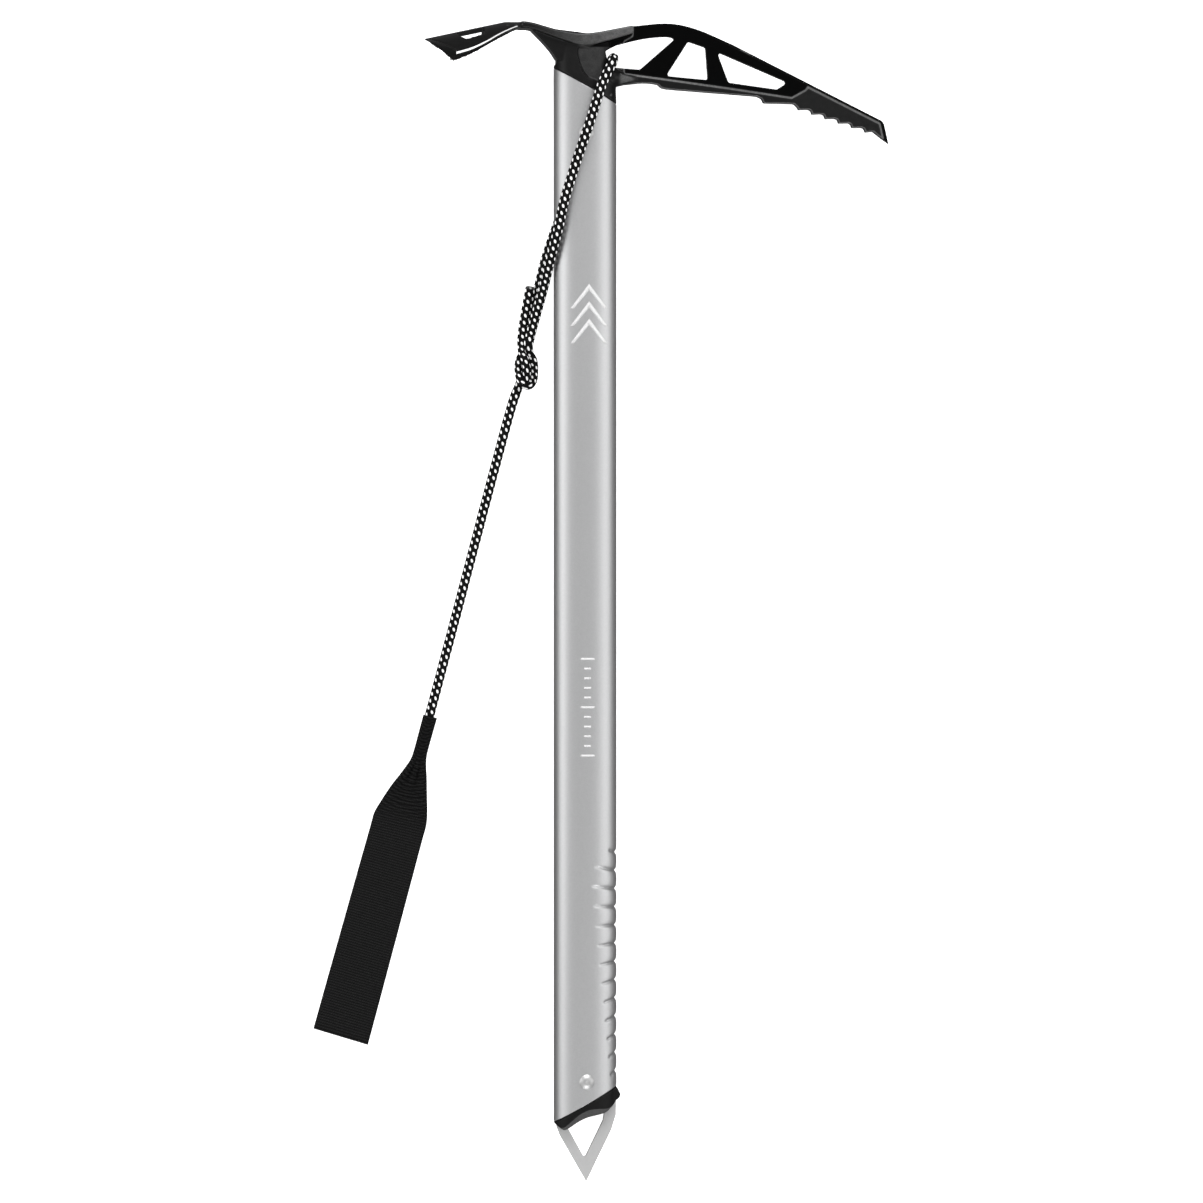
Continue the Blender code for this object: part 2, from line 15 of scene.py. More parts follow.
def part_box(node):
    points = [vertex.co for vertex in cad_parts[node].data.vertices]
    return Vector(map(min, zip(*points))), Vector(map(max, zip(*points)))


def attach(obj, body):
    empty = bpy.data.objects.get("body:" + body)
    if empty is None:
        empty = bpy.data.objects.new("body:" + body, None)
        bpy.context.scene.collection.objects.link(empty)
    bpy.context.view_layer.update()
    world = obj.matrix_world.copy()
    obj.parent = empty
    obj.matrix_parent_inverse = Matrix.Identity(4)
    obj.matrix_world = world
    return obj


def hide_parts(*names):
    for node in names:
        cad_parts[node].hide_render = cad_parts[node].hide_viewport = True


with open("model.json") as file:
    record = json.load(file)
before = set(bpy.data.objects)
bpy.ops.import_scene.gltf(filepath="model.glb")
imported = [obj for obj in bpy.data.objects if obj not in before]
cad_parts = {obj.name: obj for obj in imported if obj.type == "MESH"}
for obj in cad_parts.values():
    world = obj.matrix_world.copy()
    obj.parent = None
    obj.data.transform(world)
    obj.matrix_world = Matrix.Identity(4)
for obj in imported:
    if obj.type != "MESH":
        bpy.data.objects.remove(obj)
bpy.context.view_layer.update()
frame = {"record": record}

MM = 0.001

# ---------------------------------------------------------------- camera and framing
CAMERA_DISTANCE = 3.4                       # metres above the axe, looking straight down
FRAME_WIDTH = 0.6233                        # metres across the picture at the shaft
FRAME_CENTRE = (-0.0289, 0.0004)
SHAFT_LEVEL = 0.016
LIGHT_FROM_BELOW = 0.17                     # strength of the sky at its lowest and highest
LIGHT_FROM_ABOVE = 0.53

# ---------------------------------------------------------------- the shaft
SHAFT_HALF_WIDTH = 16.3
SHAFT_HALF_DEPTH = 10.0
SHAFT_POWER = 2.2
SHAFT_WALL = 1.5
CUT_SLOPE = 0.567
HEAD_CUT = 567.0
SPIKE_CUT = 40.4
HEAD_RIVET = (0.0, 542.7)
SPIKE_RIVET = (0.0, 52.1)
RIVET_HEAD_RADIUS = 3.9
RIVET_HEAD_HEIGHT = 1.7
RIVET_DIMPLE = 0.45

GROOVE_COUNT = 13
GROOVE_TOP = 171.0
GROOVE_PITCH = 9.5
GROOVE_EDGE = 15.3
CREASE_DEPTH = 0.55
CREASE_HALF = 0.62
LOBE_DEPTH = 0.75
TICK_COUNT = 11
TICK_FIRST = 221.0
TICK_PITCH = 5.0
INK_THICK = 0.06

# ---------------------------------------------------------------- the head
PLUG_BEVEL = 1.0                            # rise of the plug's lower bevel for each millimetre of depth
PICK_HALF = 3.1
WEB_HALF = 2.3
PICK_TIP = (158.5, 538.1)
PALM_HALF_WIDTH = 9.5
BOSS_TOP_HALF = 7.8
TOOTH_COUNT = 6
TOOTH_FIRST = (146.1, 544.2)
TOOTH_STEP = (-6.98, 2.3)
TANG_LENGTH = 20.0
ADZE_ROOT_X = -33.0
ADZE_TIP_X = -83.4
ADZE_HALF_WIDTH = 25.0
ADZE_SET_BACK = 16.8
ADZE_EDGE = [(-83.4, 578.9), (-76.0, 580.8), (-69.0, 582.8), (-61.0, 585.1), (-53.1, 588.8), (-46.6, 592.6),
             (-40.2, 595.8), (-35.0, 597.8), (-28.0, 599.0)]
ADZE_THICK = 2.5
# plan of one of the adze's two holes, in x and z
ADZE_HOLE = [(-67.0, 3.4), (-52.5, 3.4), (-53.0, 15.8), (-62.8, 17.2), (-66.7, 11.8)]
PAINTED_HIGHLIGHT_EDGE = (-68.6, -36.0)                # where along the adze's sides the painted highlight strip runs
FACET_LEVEL = 7.5                           # depth of the shallow facet on each side of the boss, at x = 0
FACET_TILT = 0.1
VOXEL = 0.45                                # the head's remeshing, fine enough for its small bevels
FIT_GAP = 0.3                               # clearance of the tang and the plug inside the shaft
INSIDE_HALF_WIDTH = SHAFT_HALF_WIDTH - SHAFT_WALL - FIT_GAP
INSIDE_HALF_DEPTH = SHAFT_HALF_DEPTH - SHAFT_WALL - FIT_GAP

# ---------------------------------------------------------------- the leash, in the row frame
CORD_DIAMETER = 5.2
CORD_STEP = 0.45
CORD_SIDES = 36
FLECK_ROWS = 6
FLECK_PITCH = 3.7
LEAD = [(-119.6, -63.9, 3.0), (-118.3, -58.9, 3.0), (-108.0, -20.0, 2.8), (-97.5, 20.0, 2.8),
        (-87.0, 60.0, 2.8), (-76.4, 99.4, 2.9), (-72.4, 111.2, 3.9)]
KNOT_IN = [(-70.4, 117.5, 3.2), (-68.0, 123.5, 3.4), (-66.4, 128.6, 8.2)]
STRANDS = [
    (-66.8, 133.4, 12.0), (-65.4, 140.0, 11.4), (-62.9, 149.0, 12.6), (-58.9, 163.0, 17.8),
    (-55.9, 175.0, 23.4), (-53.3, 185.0, 27.2), (-50.8, 194.4, 29.0), (-48.2, 206.6, 30.3),
    (-42.6, 225.0, 31.7), (-36.6, 242.6, 33.3), (-33.6, 251.6, 32.9), (-31.0, 260.0, 32.0),
    (-28.6, 267.4, 31.1), (-25.9, 273.4, 29.8), (-23.3, 278.8, 27.2), (-22.7, 281.3, 22.4),
    (-23.0, 281.6, 17.3), (-23.6, 281.1, 12.2), (-24.6, 278.8, 7.8), (-26.4, 273.4, 5.4),
    (-28.2, 267.9, 4.2), (-31.4, 255.0, 3.3), (-37.2, 237.0, 2.9), (-43.4, 220.0, 2.8),
    (-49.4, 203.6, 2.8), (-55.0, 187.6, 2.9), (-58.5, 176.6, 2.9), (-61.2, 165.5, 2.8),
    (-63.0, 157.5, 2.8), (-64.8, 148.0, 2.8), (-66.2, 140.4, 2.8), (-67.0, 133.0, 3.2)]
KNOT_WRAPS = [
    (-68.0, 130.0, 4.4), (-70.4, 128.2, 5.2), (-71.9, 124.4, 6.2), (-71.9, 119.4, 7.6),
    (-70.9, 115.6, 9.0), (-68.8, 113.0, 9.5), (-66.2, 112.7, 8.4), (-64.5, 115.0, 6.9),
    (-63.9, 119.2, 6.6), (-64.0, 123.8, 7.6), (-65.0, 127.0, 8.3), (-66.8, 128.9, 7.3),
    (-68.7, 128.5, 5.4), (-69.8, 125.4, 4.0), (-69.6, 120.6, 3.6), (-69.0, 116.6, 4.4),
    (-68.4, 114.6, 7.0), (-68.0, 116.0, 9.8), (-67.7, 119.0, 11.2), (-67.8, 122.2, 11.8),
    (-68.6, 125.6, 11.2), (-70.0, 129.4, 9.0)]
TAIL = [
    (-70.3, 133.0, 7.7), (-69.7, 141.0, 7.1), (-68.4, 149.5, 6.9), (-66.8, 158.2, 7.0),
    (-65.8, 164.0, 6.6)]
KNOT_CENTRE = Vector((-68.0, 121.9, 6.4))
KNOT_SQUEEZE = 0.84
FLECK_HALF = (0.68, 0.90)                   # half the width and half the length of one white fleck
FLECK_POWER = 2.2                           # 2 would make each fleck an ellipse
IN_SLEEVE = 5.0                             # the cord's first stretch, gripped inside the webbing sleeve
TWIST = -0.3                                # turn of the lattice round the cord, in rows of flecks
LOOP_LEFT = [
    (-121.2, -58.5), (-126.0, -76.6), (-128.1, -82.6), (-132.4, -88.7), (-138.4, -95.9),
    (-143.6, -103.4), (-147.1, -109.4), (-149.3, -117.2), (-156.6, -143.0), (-178.5, -220.9)]
LOOP_RIGHT = [
    (-114.8, -60.2), (-119.8, -78.1), (-120.7, -85.2), (-120.4, -92.0), (-120.0, -99.5),
    (-119.6, -109.0), (-120.1, -116.0), (-122.3, -124.2), (-129.4, -151.0), (-150.2, -229.4)]
WEBBING_THICK = 1.7

scene = bpy.context.scene


# ================================================================ small geometry tools
def smooth_through(points, steps):
    """A Catmull-Rom curve through the points, ends included."""
    points = [Vector(point) for point in points]
    padded = [2 * points[0] - points[1]] + points + [2 * points[-1] - points[-2]]
    curve = []
    for index in range(len(points) - 1):
        before, start, end, after = padded[index:index + 4]
        for step in range(steps):
            t = step / steps
            curve.append(0.5 * (2 * start + (end - before) * t
                                + (2 * before - 5 * start + 4 * end - after) * t ** 2
                                + (3 * start - before - 3 * end + after) * t ** 3))
    curve.append(points[-1])
    return curve


def evenly(points, step):
    """Points about one step apart along a polyline."""
    travelled = [0.0]
    for start, end in zip(points, points[1:]):
        travelled.append(travelled[-1] + (end - start).length)
    count = max(round(travelled[-1] / step), 2)
    even = []
    index = 0
    for number in range(count + 1):
        goal = travelled[-1] * number / count
        while index < len(points) - 2 and travelled[index + 1] < goal:
            index += 1
        share = (goal - travelled[index]) / (travelled[index + 1] - travelled[index])
        even.append(points[index].lerp(points[index + 1], min(share, 1.0)))
    return even


def rounded(corners, radius, steps=6):
    """The outline with an arc of the given radius in place of each corner."""
    outline = []
    count = len(corners)
    for index in range(count):
        corner = Vector(corners[index])
        to_last = (Vector(corners[index - 1]) - corner).normalized()
        to_next = (Vector(corners[(index + 1) % count]) - corner).normalized()
        half = to_last.angle(to_next) / 2
        reach = radius / math.tan(half)
        centre = corner + (to_last + to_next).normalized() * radius / math.sin(half)
        start = corner + to_last * reach - centre
        end = corner + to_next * reach - centre
        for step in range(steps + 1):
            outline.append(centre + start.slerp(end, step / steps))
    return outline


def ramp(value, low, high):
    """Goes smoothly from 0 at low to 1 at high."""
    t = min(max((value - low) / (high - low), 0.0), 1.0)
    return t * t * (3 - 2 * t)


def mesh_from(name, shell):
    bmesh.ops.recalc_face_normals(shell, faces=shell.faces)
    made = bpy.data.meshes.new(name)
    shell.to_mesh(made)
    shell.free()
    return made


def guide(name, mesh):
    """An object for a modifier to work with. It is removed once it has been used."""
    made = bpy.data.objects.new(name, mesh)
    scene.collection.objects.link(made)
    return made


def slab(name, outline, low, high):
    """A prism of the outline between two heights z."""
    return loft(name, [[(point[0], point[1], z) for point in outline] for z in (low, high)])


def loft(name, rings, closed_tube=False):
    """Joins equal rings of points in order, capped at its ends or closed on itself."""
    shell = bmesh.new()
    loops = [[shell.verts.new(point) for point in ring] for ring in rings]
    pairs = list(zip(loops, loops[1:]))
    if closed_tube:
        pairs.append((loops[-1], loops[0]))
    for lower, upper in pairs:
        count = len(lower)
        for index in range(count):
            after = (index + 1) % count
            shell.faces.new((lower[index], lower[after], upper[after], upper[index]))
    if not closed_tube:
        shell.faces.new(loops[0])
        shell.faces.new(loops[-1])
    return guide(name, mesh_from(name, shell))


def plate(name, loops, half, bevel, steps):
    """A flat plate with bevelled edges. The first loop is its outline and the others are its holes."""
    curve = bpy.data.curves.new(name, "CURVE")
    curve.dimensions = "2D"
    curve.fill_mode = "BOTH"
    curve.extrude = half - bevel
    curve.bevel_depth = bevel
    curve.bevel_resolution = steps
    curve.offset = -bevel
    for loop in loops:
        spline = curve.splines.new("POLY")
        spline.points.add(len(loop) - 1)
        spline.use_cyclic_u = True
        for place, point in zip(spline.points, loop):
            place.co = (point[0], point[1], 0, 1)
    source = guide(name, curve)
    mesh = evaluated(source)
    remove([source])
    shell = bmesh.new()
    shell.from_mesh(mesh)
    bmesh.ops.remove_doubles(shell, verts=shell.verts, dist=0.001)
    return guide(name, mesh_from(name, shell))


def evaluated(source):
    """The mesh of an object with its modifiers applied."""
    bpy.context.view_layer.update()
    return bpy.data.meshes.new_from_object(source.evaluated_get(bpy.context.evaluated_depsgraph_get()))


def remove(objects):
    for old in objects:
        bpy.data.objects.remove(old, do_unlink=True)


def combine(target, steps):
    """Applies exact Booleans, each given as (operation, guide), and removes the guides."""
    for operation, other in steps:
        step = target.modifiers.new(other.name, "BOOLEAN")
        step.operation = operation
        step.solver = "EXACT"
        step.object = other
    mesh = evaluated(target)
    remove([target] + [other for _, other in steps])
    return mesh


def forged(name, mesh, voxel, passes):
    """Remeshes a solid so that its edges are slightly rounded, as forging or moulding leaves them."""
    source = guide(name, mesh)
    remesh = source.modifiers.new("remesh", "REMESH")
    remesh.mode = "VOXEL"
    remesh.voxel_size = voxel
    relax = source.modifiers.new("relax", "SMOOTH")
    relax.factor = 0.5
    relax.iterations = passes
    made = evaluated(source)
    remove([source])
    return made


def oval(half_width, half_depth, sides):
    """Points (x, z) of the shaft's kind of oval."""
    points = []
    for index in range(sides):
        angle = math.tau * index / sides
        across = math.cos(angle)
        out = math.sin(angle)
        x = half_width * math.copysign(abs(across) ** (2 / SHAFT_POWER), across)
        z = half_depth * math.copysign(abs(out) ** (2 / SHAFT_POWER), out)
        points.append((x, z))
    return points


def turned(name, centre, profile, sides=64):
    """A solid of revolution about an axis along z, from (radius, z) points."""
    rings = []
    for radius, z in profile:
        ring = []
        for index in range(sides):
            angle = math.tau * index / sides
            ring.append((centre[0] + radius * math.cos(angle), centre[1] + radius * math.sin(angle), z))
        rings.append(ring)
    return loft(name, rings)


# ================================================================ placing pieces
def axe_place():
    """The axe's own frame in the row frame, read off the two rivets and the pick's side."""
    rivets = []
    for node in ("spike_rivet", "head_rivet"):
        low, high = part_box(node)
        rivets.append((low + high) / 2)
    up_shaft = (rivets[1] - rivets[0]).normalized()
    mount = next(m for m in frame["record"]["mounts"] if m["name"] == "pick_side")
    out = Vector(mount["axis"])
    out = (out - up_shaft * out.dot(up_shaft)).normalized()
    place = Matrix((up_shaft.cross(out), up_shaft, out)).transposed().to_4x4()
    place.translation = rivets[0] - up_shaft * SPIKE_RIVET[1] * MM
    return place


AXE = axe_place()


def piece(name, mesh, finish, body, nodes=()):
    """A shown piece. Its mesh comes in millimetres in the axe's own frame, or the row frame for the leash."""
    mesh.transform(Matrix.Scale(MM, 4))
    if body == "axe":
        mesh.transform(AXE)
    mesh.name = name
    made = bpy.data.objects.new(name, mesh)
    scene.collection.objects.link(made)
    mesh.materials.clear()
    mesh.materials.append(finish)
    mesh.shade_smooth()
    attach(made, body)
    if nodes:
        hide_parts(*nodes)
    return made


# ================================================================ materials
class Shader:
    """A Principled material and short ways to add nodes to it."""

    def __init__(self, name, colour, roughness, metallic=0.0, **sockets):
        self.material = bpy.data.materials.new(name)
        self.material.use_nodes = True
        self.tree = self.material.node_tree
        self.bsdf = self.tree.nodes["Principled BSDF"]
        self.set("Base Color", (*colour, 1.0))
        self.set("Roughness", roughness)
        self.set("Metallic", metallic)
        for socket, value in sockets.items():
            self.set(socket.replace("_", " "), value)

    def set(self, socket, value):
        self.bsdf.inputs[socket].default_value = value

    def node(self, kind, inputs=None, **settings):
        made = self.tree.nodes.new(kind)
        for key, value in settings.items():
            setattr(made, key, value)
        for key, value in (inputs or {}).items():
            if isinstance(value, bpy.types.NodeSocket):
                self.tree.links.new(value, made.inputs[key])
            else:
                made.inputs[key].default_value = value
        return made

    def math(self, operation, first, second=0.0, third=0.0):
        return self.node("ShaderNodeMath", {0: first, 1: second, 2: third}, operation=operation).outputs[0]

    def times(self, first, second):
        return self.math("MULTIPLY", first, second)

    def smooth(self, value, low, high):
        made = self.node("ShaderNodeMapRange", {0: value, 1: low, 2: high}, interpolation_type="SMOOTHSTEP")
        return made.outputs[0]

    def place(self, scale=(1, 1, 1)):
        """Coordinates in the axe's own frame, in metres, stretched by the scale."""
        where = self.node("ShaderNodeTexCoord").outputs["Object"]
        turn = AXE.to_euler()
        inputs = {"Vector": where, "Location": AXE.translation, "Rotation": turn}
        own = self.node("ShaderNodeMapping", inputs, vector_type="TEXTURE").outputs[0]
        return self.node("ShaderNodeMapping", {"Vector": own, "Scale": scale}).outputs[0]

    def facing(self):
        """The surface's normal in the axe's own frame."""
        normal = self.node("ShaderNodeTexCoord").outputs["Normal"]
        inputs = {"Vector": normal, "Rotation": AXE.to_euler()}
        return self.axes(self.node("ShaderNodeMapping", inputs, vector_type="TEXTURE").outputs[0])

    def axes(self, vector):
        return self.node("ShaderNodeSeparateXYZ", {0: vector}).outputs

    def noise(self, where, scale, detail=3.0, roughness=0.5):
        made = self.node("ShaderNodeTexNoise", {"Vector": where, "Scale": scale, "Detail": detail,
                                                "Roughness": roughness})
        return made.outputs["Fac"]

    def mix(self, share, first, second):
        inputs = {0: share, 6: first, 7: second}
        return self.node("ShaderNodeMix", inputs, data_type="RGBA").outputs[2]

    def range(self, value, low, high):
        """A 0 to 1 value spread from low to high."""
        return self.node("ShaderNodeMapRange", {0: value, 3: low, 4: high}).outputs[0]

    def link(self, value, socket):
        self.tree.links.new(value, self.bsdf.inputs[socket])

    def bump(self, height, distance, strength=1.0, before=None):
        inputs = {"Height": height, "Distance": distance, "Strength": strength}
        if before is not None:
            inputs["Normal"] = before
        return self.node("ShaderNodeBump", inputs).outputs[0]


def grey(level, alpha=1.0):
    return (level, level, level, alpha)


def black_coating():
    """Satin black coating over forged steel, blackest in the pick's pockets. Painted highlights make its
    convex edges, the boss's facets, the palm rest's sides, the pocket bevels and the lower arm's root paler;
    painted shade darkens the pick's upward-facing top chamfers and the wedge under the palm rest.
    """
    s = Shader("black_coating", (0.006, 0.006, 0.006), 0.36)
    where = s.place()
    coarse = s.noise(where, 300, 4, 0.65)
    fine = s.noise(where, 1600, 3, 0.65)
    x, y, z = s.axes(where)
    _, turned_y, turned_z = s.facing()
    depth = s.math("ABSOLUTE", z)
    past_boss = s.smooth(x, 0.0165, 0.019)
    pocket_and_shadow_mask = s.times(s.smooth(depth, 0.0026, 0.0024), past_boss)
    blade = s.times(s.smooth(depth, 0.0027, 0.0029), s.smooth(x, 0.105, 0.112))
    # painted highlight: the flat facet on each side of the boss is made paler where it faces straight out
    ellipse = s.math("ADD", s.math("POWER", s.math("DIVIDE", s.math("SUBTRACT", 0.009, x), 0.0138), 2.0),
                     s.math("POWER", s.math("DIVIDE", s.math("SUBTRACT", 0.5873, y), 0.0185), 2.0))
    facet = s.times(s.smooth(ellipse, 1.03, 0.97), s.smooth(turned_z, 0.93, 0.98))
    facet = s.times(facet, s.times(s.smooth(y, 0.5874, 0.5868), s.smooth(x, 0.0098, 0.0088)))
    # painted highlight: the palm rest's sides are made paler
    palm = s.times(s.smooth(depth, 0.0082, 0.0090), s.smooth(y, 0.5872, 0.5885))
    palm = s.times(palm, s.times(s.smooth(x, -0.034, 0.024), s.smooth(x, -0.05, -0.034)))
    # painted shade: the pick's top chamfers, where they face up towards the head, are darkened
    chamfer_shade_mask = s.times(s.smooth(turned_y, 0.2, 0.32), s.smooth(x, 0.05, 0.07))
    # painted highlight: sharp convex edges, found by pointiness, are made paler as bright edge lines
    edge_highlight = s.smooth(s.node("ShaderNodeNewGeometry").outputs["Pointiness"], 0.53, 0.60)
    # painted highlight: the sloping pocket wall above the lower rail is made paler as a bright line
    bevel = s.times(s.times(s.smooth(depth, 0.00238, 0.00256), s.smooth(depth, 0.00306, 0.00294)),
                   past_boss)
    # painted highlight: the conical root of the lower arm is made paler
    arm_root_highlight = s.times(s.smooth(depth, 0.0034, 0.0046), s.times(past_boss, s.smooth(y, 0.5740, 0.5725)))
    # painted shadow: the wedge under the palm rest's overhang is darkened
    wedge = s.times(s.smooth(depth, 0.0084, 0.0080), s.smooth(y, 0.5870, 0.5876))
    wedge = s.times(wedge, s.times(s.smooth(x, -0.002, 0.002), s.smooth(x, 0.025, 0.023)))
    # the pockets' own blacker tone, joined by the painted shadow under the palm rest
    pocket_and_shadow_mask = s.math("MAXIMUM", pocket_and_shadow_mask, wedge)
    # dark: the pockets' own blacker tone with the painted shade of the chamfers and the painted shadow under
    # the palm rest; it lowers both colour and reflection
    dark = s.math("MAXIMUM", pocket_and_shadow_mask, s.times(chamfer_shade_mask, 0.8))
    level = s.times(s.math("SUBTRACT", 1.0, s.times(dark, 0.9)), 0.0022)
    # paler: the blade's slightly paler face, then the painted highlights
    paler = ((blade, 0.003), (facet, 0.022), (palm, 0.075), (edge_highlight, 0.05), (bevel, 0.08), (arm_root_highlight, 0.07))
    for mask, amount in paler:
        level = s.math("MULTIPLY_ADD", mask, amount, level)
    level = s.times(level, s.range(s.times(coarse, fine), 0.3, 3.0))
    s.link(level, "Base Color")
    s.link(s.range(dark, 0.23, 0.06), "Specular IOR Level")
    s.link(s.range(coarse, 0.28, 0.40), "Roughness")
    normal = s.bump(coarse, 0.00010, 0.4)
    s.link(s.bump(fine, 0.00004, 0.6, normal), "Normal")
    return s.material


def anodised():
    """Fine bead-blasted, clear anodised aluminium."""
    s = Shader("anodised_aluminium", (0.72, 0.725, 0.735), 0.36, 1.0)
    where = s.place()
    grain = s.math("ADD", s.times(s.noise(where, 2400, 2, 0.7), 0.55),
                   s.times(s.noise(where, 850, 3, 0.7), 0.45))
    cloud = s.noise(where, 45, 3)
    tone = s.mix(s.range(grain, 0.0, 1.0), (0.50, 0.503, 0.508, 1), (0.70, 0.703, 0.708, 1))
    s.link(s.mix(s.range(cloud, 0.0, 0.25), tone, (0.56, 0.562, 0.565, 1)), "Base Color")
    s.link(s.range(grain, 0.38, 0.48), "Roughness")
    s.link(s.bump(grain, 0.00007, 0.6), "Normal")
    return s.material


def bare_steel(name, level, roughness, metallic, stretch=(1, 1, 1)):
    """Brushed, ground or polished stainless steel."""
    s = Shader(name, (level, level, level), roughness, metallic)
    streaks = s.noise(s.place(stretch), 600, 3)
    s.link(s.mix(streaks, grey(level * 0.92), grey(min(level * 1.06, 1.0))), "Base Color")
    s.link(s.range(streaks, roughness - 0.05, roughness + 0.06), "Roughness")
    s.link(s.bump(streaks, 0.00002, 0.5), "Normal")
    return s.material


def moulded_plastic():
    """Matt black plastic, with a painted highlight that makes its lower bevel a little greyer."""
    s = Shader("moulded_plastic", (0.006, 0.006, 0.006), 0.42, Specular_IOR_Level=0.16)
    where = s.place()
    grain = s.noise(where, 2200, 2)
    _, turned_y, _ = s.facing()
    # painted highlight: faces of the lower bevel, sloping down towards the spike, are made greyer
    bevel_highlight = s.times(s.smooth(turned_y, -0.35, -0.6), s.smooth(turned_y, -0.93, -0.8))
    level = s.math("MULTIPLY_ADD", bevel_highlight, 0.055, s.range(s.noise(where, 160), 0.002, 0.005))
    s.link(s.times(level, s.range(grain, 0.6, 1.4)), "Base Color")
    s.link(s.range(grain, 0.36, 0.48), "Roughness")
    s.link(s.bump(grain, 0.00005, 0.5), "Normal")
    return s.material


def braided_cord(length):
    """Black braid with a white tracer yarn that shows as a lattice of slanted flecks.

    The texture coordinates run once round the cord (u) and along it in millimetres (v).
    """
    s = Shader("braided_cord", (0.01, 0.01, 0.01), 0.75, Specular_IOR_Level=0.08)
    u, v, _ = s.axes(s.node("ShaderNodeTexCoord").outputs["UV"])
    rows = s.times(u, FLECK_ROWS)
    row = s.math("FLOOR", rows)
    along = s.math("ADD", s.math("DIVIDE", v, FLECK_PITCH), s.times(row, 0.5))
    a = s.math("SUBTRACT", s.math("FRACT", rows), 0.5)
    b = s.math("SUBTRACT", s.math("FRACT", along), 0.5)
    width = math.pi * CORD_DIAMETER / FLECK_ROWS
    a = s.times(a, width)
    b = s.times(b, FLECK_PITCH)
    slanted_a = s.math("ADD", a, s.times(b, 0.35))
    beside = s.math("ABSOLUTE", s.math("DIVIDE", slanted_a, FLECK_HALF[0]))
    ahead = s.math("ABSOLUTE", s.math("DIVIDE", b, FLECK_HALF[1]))
    reach = s.math("ADD", s.math("POWER", beside, FLECK_POWER), s.math("POWER", ahead, FLECK_POWER))
    ragged = s.times(s.math("SUBTRACT", s.noise(s.place(), 1500, 2), 0.5), 0.7)
    fleck = s.smooth(s.math("ADD", reach, ragged), 1.15, 0.8)
    threads = s.math("ADD", s.times(u, 3 * FLECK_ROWS), s.times(v, 2 / FLECK_PITCH))
    weave = s.math("ABSOLUTE", s.math("SINE", s.times(threads, math.pi)))
    other = s.math("SUBTRACT", s.times(u, 3 * FLECK_ROWS), s.times(v, 2 / FLECK_PITCH))
    cross = s.math("ABSOLUTE", s.math("SINE", s.times(other, math.pi)))
    height = s.times(weave, cross)
    fibre = s.noise(s.place(), 4200, 2)
    # painted shade: the braid's hollows are darker than its raised yarns, on the black lattice and on the
    # white flecks
    dark = s.mix(height, grey(0.0005), grey(0.006))
    light = s.mix(s.times(height, fibre), grey(0.85), grey(1.0))
    cloth = s.mix(fleck, dark, light)
    melted = s.smooth(v, length - 2.2, length - 0.6)
    s.link(s.mix(s.times(melted, 0.85), cloth, grey(0.07)), "Base Color")
    s.link(s.bump(s.math("ADD", height, s.times(fibre, 0.5)), 0.00025, 0.6), "Normal")
    return s.material


def ribbed_webbing():
    """Black nylon webbing. Its texture coordinates are millimetres across (u) and from the sleeve's top (v).

    Deep pleats cross it where it is gathered, and fade into fine ribs along the flat part.
    """
    s = Shader("ribbed_webbing", (0.005, 0.005, 0.005), 0.8, Specular_IOR_Level=0.1)
    u, v, _ = s.axes(s.node("ShaderNodeTexCoord").outputs["UV"])
    wander = s.times(s.math("SUBTRACT", s.noise(s.place(), 120, 2), 0.5), 2.2)
    bowed = s.math("ADD", s.math("ADD", v, s.times(s.times(u, u), 0.012)), wander)
    pleat = s.math("ABSOLUTE", s.math("SINE", s.times(bowed, math.pi / 2.0)))
    gathered = s.math("SUBTRACT", 1.0, s.smooth(v, 44.0, 64.0))
    rib = s.math("ABSOLUTE", s.math("SINE", s.times(v, math.pi / 1.35)))
    warp = s.math("ABSOLUTE", s.math("SINE", s.math("ADD", s.times(u, math.pi / 1.15),
                                                    s.times(v, math.pi / 2.7))))
    height = s.times(rib, s.range(warp, 0.35, 1.0))
    deep = s.times(s.math("SUBTRACT", pleat, 1.0), gathered)
    fibre = s.noise(s.place(), 1500, 3, 0.7)
    # painted shade: the weave's hollows are darker than its raised ribs
    tone = s.mix(s.times(height, fibre), grey(0.0004), grey(0.026))
    # painted shade: the pleats' creases are painted black where the webbing is gathered
    tone = s.mix(s.times(gathered, s.smooth(pleat, 0.75, 0.2)), tone, grey(0.0004))
    s.link(tone, "Base Color")
    height = s.math("ADD", s.math("ADD", height, s.times(fibre, 0.6)), s.times(deep, 1.6))
    s.link(s.bump(height, 0.0004, 0.8), "Normal")
    return s.material


def white_ink():
    s = Shader("white_ink", (0.82, 0.82, 0.82), 0.45)
    where = s.place()
    speckle = s.noise(where, 1800, 2)
    s.link(s.mix(speckle, grey(0.58), grey(0.72)), "Base Color")
    s.link(s.bump(speckle, 0.00002, 0.4), "Normal")
    return s.material


def pale_floor():
    s = Shader("pale_floor", (0.9, 0.9, 0.9), 0.9)
    s.set("Specular IOR Level", 0.1)
    s.link(s.mix(s.noise(s.place(), 6, 2), grey(0.89), grey(0.91)), "Base Color")
    s.set("Emission Color", grey(1.0))
    s.set("Emission Strength", 0.75)
    return s.material


# ================================================================ the shaft and its rivets
def head_cut(x):
    return HEAD_CUT - CUT_SLOPE * x


def spike_cut(x):
    return SPIKE_CUT + CUT_SLOPE * x


def groove(number):
    """A groove's height at the shaft's edge, its inner end and its slope."""
    reach = 12.1 - 0.96 * (number - 2)
    if number == 1:
        reach = 10.6
    if number == 0:
        reach = 3.4
    return GROOVE_TOP - GROOVE_PITCH * number, GROOVE_EDGE - reach, 0.25 - 0.07 * number


